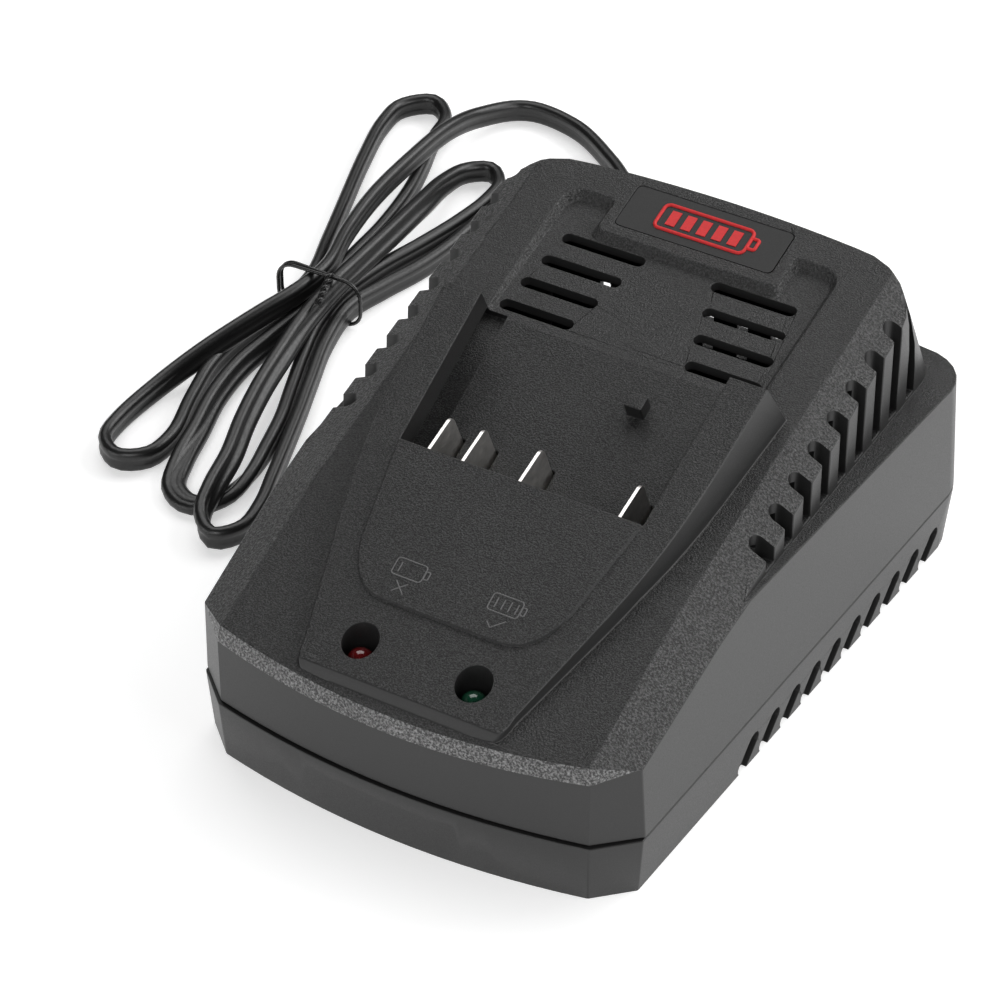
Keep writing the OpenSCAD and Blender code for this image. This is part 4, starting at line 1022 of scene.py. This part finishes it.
def light_tube(lamp):
    """Vertices and faces of the tube round a lamp, from the lamp board up into the dock's wall."""
    low, high = (Vector(corner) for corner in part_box(lamp))
    x, y = (low.x + high.x) / 2, (low.y + high.y) / 2
    section = ((TUBE_OUTSIDE, False), (TUBE_OUTSIDE, True), (TUBE_INSIDE, True),
        (TUBE_INSIDE, False))
    verts, faces = [], []
    for i in range(TUBE_SIDES):
        a = 2 * math.pi * i / TUBE_SIDES
        j = (i + 1) % TUBE_SIDES
        for radius, at_top in section:
            px, py = x + radius * math.cos(a), y + radius * math.sin(a)
            verts.append(Vector((px, py, dock_height(py) - TUBE_IN_WALL if at_top else low.z)))
        faces += [(4 * i + k, 4 * j + k, 4 * j + (k + 1) % 4, 4 * i + (k + 1) % 4)
            for k in range(4)]
    return verts, faces


light_tubes = face_outwards(mesh_object("light_tubes",
    *joined(light_tube(lamp) for lamp in ("red_lamp", "green_lamp"))))
finish_piece(light_tubes, [satin_plastic], smooth=False)
print("light tubes:", len(light_tubes.data.polygons), "faces")

# %% [markdown]
# ## Strain relief, tie and plug
# The lead leaves the case in a ribbed sleeve. Its core is a tapered bar, lofted through ovals, and
# its ribs are collars that shrink towards the tip. The hank is held by a coated wire wound round it
# twice and twisted shut, and the plug is one moulding with a waist for the fingers.

# %% Strain relief
relief_low, relief_high = (Vector(corner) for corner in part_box("cord_relief"))
RIBS = 7
RIB_LENGTH = 1.9 * MM
RIB_PITCH = 3.3 * MM
ROOT_SIZE = (6.6 * MM, 9.2 * MM)
TIP_SIZE = (4.9 * MM, 8.1 * MM)
NECK_LENGTH = 6.8 * MM
RELIEF_LENGTH = relief_high.y - relief_low.y
exit_z = (relief_low.z + relief_high.z) / 2


def oval(w, h, sides=OVAL_SIDES, power=2.6):
    """Rounded outline w wide and h tall; a higher power gives squarer corners."""
    points = []
    for i in range(sides):
        a = 2 * math.pi * i / sides
        c, s = math.cos(a), math.sin(a)
        points.append((w / 2 * math.copysign(abs(c) ** (2 / power), c),
            h / 2 * math.copysign(abs(s) ** (2 / power), s)))
    return points


def relief_ring(y, w, h):
    """Oval across the sleeve, with its place along it and its size in mm."""
    return [Vector((x, relief_low.y + y * MM, exit_z + z)) for x, z in oval(w * MM, h * MM)]


length = RELIEF_LENGTH / MM
flange = [(0, 8.4, 11.4), (2.4, 8.4, 11.4), (2.4, 6.5, 9.1), (6.9, 6.5, 9.1)]
core = [(6.9, 5.6, 8.2), (length - 0.4, 4.5, 7.7), (length, 4.2, 7.4)]
strain_relief = lofted("strain_relief", [relief_ring(*row) for row in flange + core])
grow(strain_relief, COLLAR_TREE, {"Count": RIBS,
    "Start": (0, relief_low.y + NECK_LENGTH + RIB_LENGTH, exit_z), "Step": (0, RIB_PITCH, 0),
    "First Size": (ROOT_SIZE[0], RIB_LENGTH, ROOT_SIZE[1]),
    "Last Size": (TIP_SIZE[0], RIB_LENGTH, TIP_SIZE[1]), "Finish": cord_sheath})
finish_piece(strain_relief, [cord_sheath], ("cord_relief",), smooth=False)

# %% Wire tie
TIE_WIRE = 0.55 * MM
TIE_INSET = 0.9 * MM
TIE_LIFT, TIE_TOP = 0.1 * MM, 15.8 * MM
TIE_CORNER = 5.5
LOOPS_APART = 0.9 * MM
FIRST_LEAN, SECOND_LEAN = 1.2 * MM, -0.6 * MM
TAIL_STEPS = 24
TAIL_LENGTH = 13 * MM
TAIL_ASIDE = 4 * MM
TAIL_INSET = 1.2 * MM
TAIL_HEIGHT = 16.2 * MM
TAIL_RISE, TAIL_DROP = 0.6 * MM, 1.2 * MM
TAIL_RADIUS = 0.62
HALF_TWISTS = 5
tie_low, tie_high = (Vector(corner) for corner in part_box("cord_tie"))


def tie_loop(y, lean):
    """One turn of the tie round the hank, leaning by lean metres from its left to its right."""
    left, right = tie_low.x + TIE_INSET, tie_high.x - TIE_INSET
    low, high = TIE_WIRE + TIE_LIFT, TIE_TOP
    outline = rounded_box((left + right) / 2 / MM, (low + high) / 2 / MM, (right - left) / MM,
        (high - low) / MM, TIE_CORNER, 8)
    return [Vector((x * MM, y + lean * (x * MM - left) / (right - left), z * MM))
        for x, z in outline]


def tie_tail(start_turn):
    """One of the two wire ends, twisted round each other and laid down towards the front."""
    root = Vector(((tie_low.x + tie_high.x) / 2 + TAIL_ASIDE, tie_low.y + TAIL_INSET,
        TAIL_HEIGHT))
    points = []
    for i in range(TAIL_STEPS + 1):
        t = i / TAIL_STEPS
        turn = t * HALF_TWISTS * math.pi + start_turn
        centre = root + Vector((TAIL_ASIDE * t, -TAIL_LENGTH * t, TAIL_RISE - TAIL_DROP * t * t))
        points.append(centre + Vector((math.cos(turn), 0, math.sin(turn))) * TAIL_RADIUS * MM)
    return points


tie_y = (tie_low.y + tie_high.y) / 2
tie_paths = [tie_loop(tie_y - LOOPS_APART, FIRST_LEAN),
    tie_loop(tie_y + LOOPS_APART, SECOND_LEAN), tie_tail(0), tie_tail(math.pi)]
tie = wires("wire_tie", tie_paths, TIE_WIRE, tie_plastic)
finish_piece(tie, [tie_plastic], ("cord_tie",))

# %% Plug
plug_low, plug_high = (Vector(corner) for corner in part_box("plug_body"))
plug_mid = (plug_low + plug_high) / 2
# Share of the length, and the width and height there in mm, from the cord to the face
PLUG_SHAPE = [(0.0, 5.0, 8.4), (0.06, 7.4, 9.2), (0.16, 10.5, 10.4), (0.27, 16.5, 13.2),
    (0.36, 21.4, 14.6), (0.44, 23.2, 14.9), (0.50, 22.4, 13.4), (0.56, 22.0, 13.0),
    (0.62, 22.4, 13.4), (0.68, 23.4, 14.8), (0.80, 23.9, 15.0), (0.96, 23.9, 15.0),
    (1.0, 22.9, 14.0)]


def plug_ring(share, w, h):
    x = plug_low.x + share * (plug_high.x - plug_low.x)
    return [Vector((x, plug_mid.y + y, plug_mid.z + z))
        for y, z in oval(w * MM, h * MM, sides=40, power=4.2)]


plug = lofted("plug", [plug_ring(*row) for row in PLUG_SHAPE])
finish_piece(plug, [plug_plastic], ("plug_body",))
plug_smooth = plug.modifiers.new("rounder", "SUBSURF")
plug_smooth.levels = plug_smooth.render_levels = 1

# %% [markdown]
# ## The choke's winding
# The mains choke is a ring of ferrite with enamelled copper round it. Its wire is a helix bent into
# a ring: a formula gives the path, and the wire tree gives it its thickness.

# %% Choke winding
CHOKE_TURNS = 26
TURN_POINTS = 12
CHOKE_WIRE = 0.32 * MM
CORE_HALF = 1.45 * MM
WOUND_FROM, WOUND_ARC = math.radians(110), math.radians(320)
choke_low, choke_high = (Vector(corner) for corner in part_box("mains_choke"))
choke_mid = (choke_low + choke_high) / 2
ring_half = (choke_high.y - choke_low.y) / 2
ring_middle = (choke_high.x - choke_low.x) / 2 - CORE_HALF
helix = []
for i in range(CHOKE_TURNS * TURN_POINTS + 1):
    t = i / (CHOKE_TURNS * TURN_POINTS)
    around = WOUND_ARC * t + WOUND_FROM
    turn = 2 * math.pi * CHOKE_TURNS * t
    radius = ring_middle + (CORE_HALF + CHOKE_WIRE) * math.cos(turn)
    helix.append(choke_mid + Vector((radius * math.cos(around),
        (ring_half + CHOKE_WIRE) * math.sin(turn), radius * math.sin(around))))
winding = wires("choke_winding", [helix], CHOKE_WIRE, copper, 6)
finish_piece(winding, [copper])

# %% [markdown]
# ## Cord and remaining parts
# The cord gets its sheath and stands for the CAD model's cord parts. Every CAD part that stays as
# it is gets the finish of what it is made of, from one table.

# %% Cord
finish_piece(cord, [cord_sheath], ("cord_tube", "cord_hank", "plug_tube"))

# %% Finishes of the CAD parts
FINISH_PARTS = [
    (top_plastic, "top_shell"),
    (base_plastic, "bottom_shell"),
    (plate_plastic, "label_plate"),
    (red_lens, "red_lamp"),
    (green_lens, "green_lamp"),
    (laminate, "circuit_board"),
    (painted_shade_laminate, "lamp_board"),
    (ivory, "contact_block"),
    (nickel, "negative_blade temperature_blade coding_blade positive_blade plug_blades"),
    (insulation, "lamp_cable contact_leads"),
    (ferrite, "transformer_core mains_choke"),
    (coil_tape, "transformer_coil"),
    (sleeve, "mains_capacitor output_capacitor"),
    (fuse_glass, "fuse"),
    (brass, "fuse_clips"),
    (epoxy, "bridge_rectifier switching_transistor output_diode"),
    (aluminium, "primary_heat_sink output_heat_sink"),
    (zinc, "case_screws board_screws clamp_screws"),
    (nylon, "cord_clamp"),
    (cord_sheath, "cord_relief inlet_leads cord_tube cord_hank plug_tube"),
    (tie_plastic, "cord_tie"),
    (plug_plastic, "plug_body"),
]
PART_FINISH = {part: finish for finish, parts in FINISH_PARTS for part in parts.split()}
for name, obj in nodes.items():
    obj.data.materials.clear()
    obj.data.materials.append(PART_FINISH[name])
print(len(PART_FINISH), "CAD parts finished")
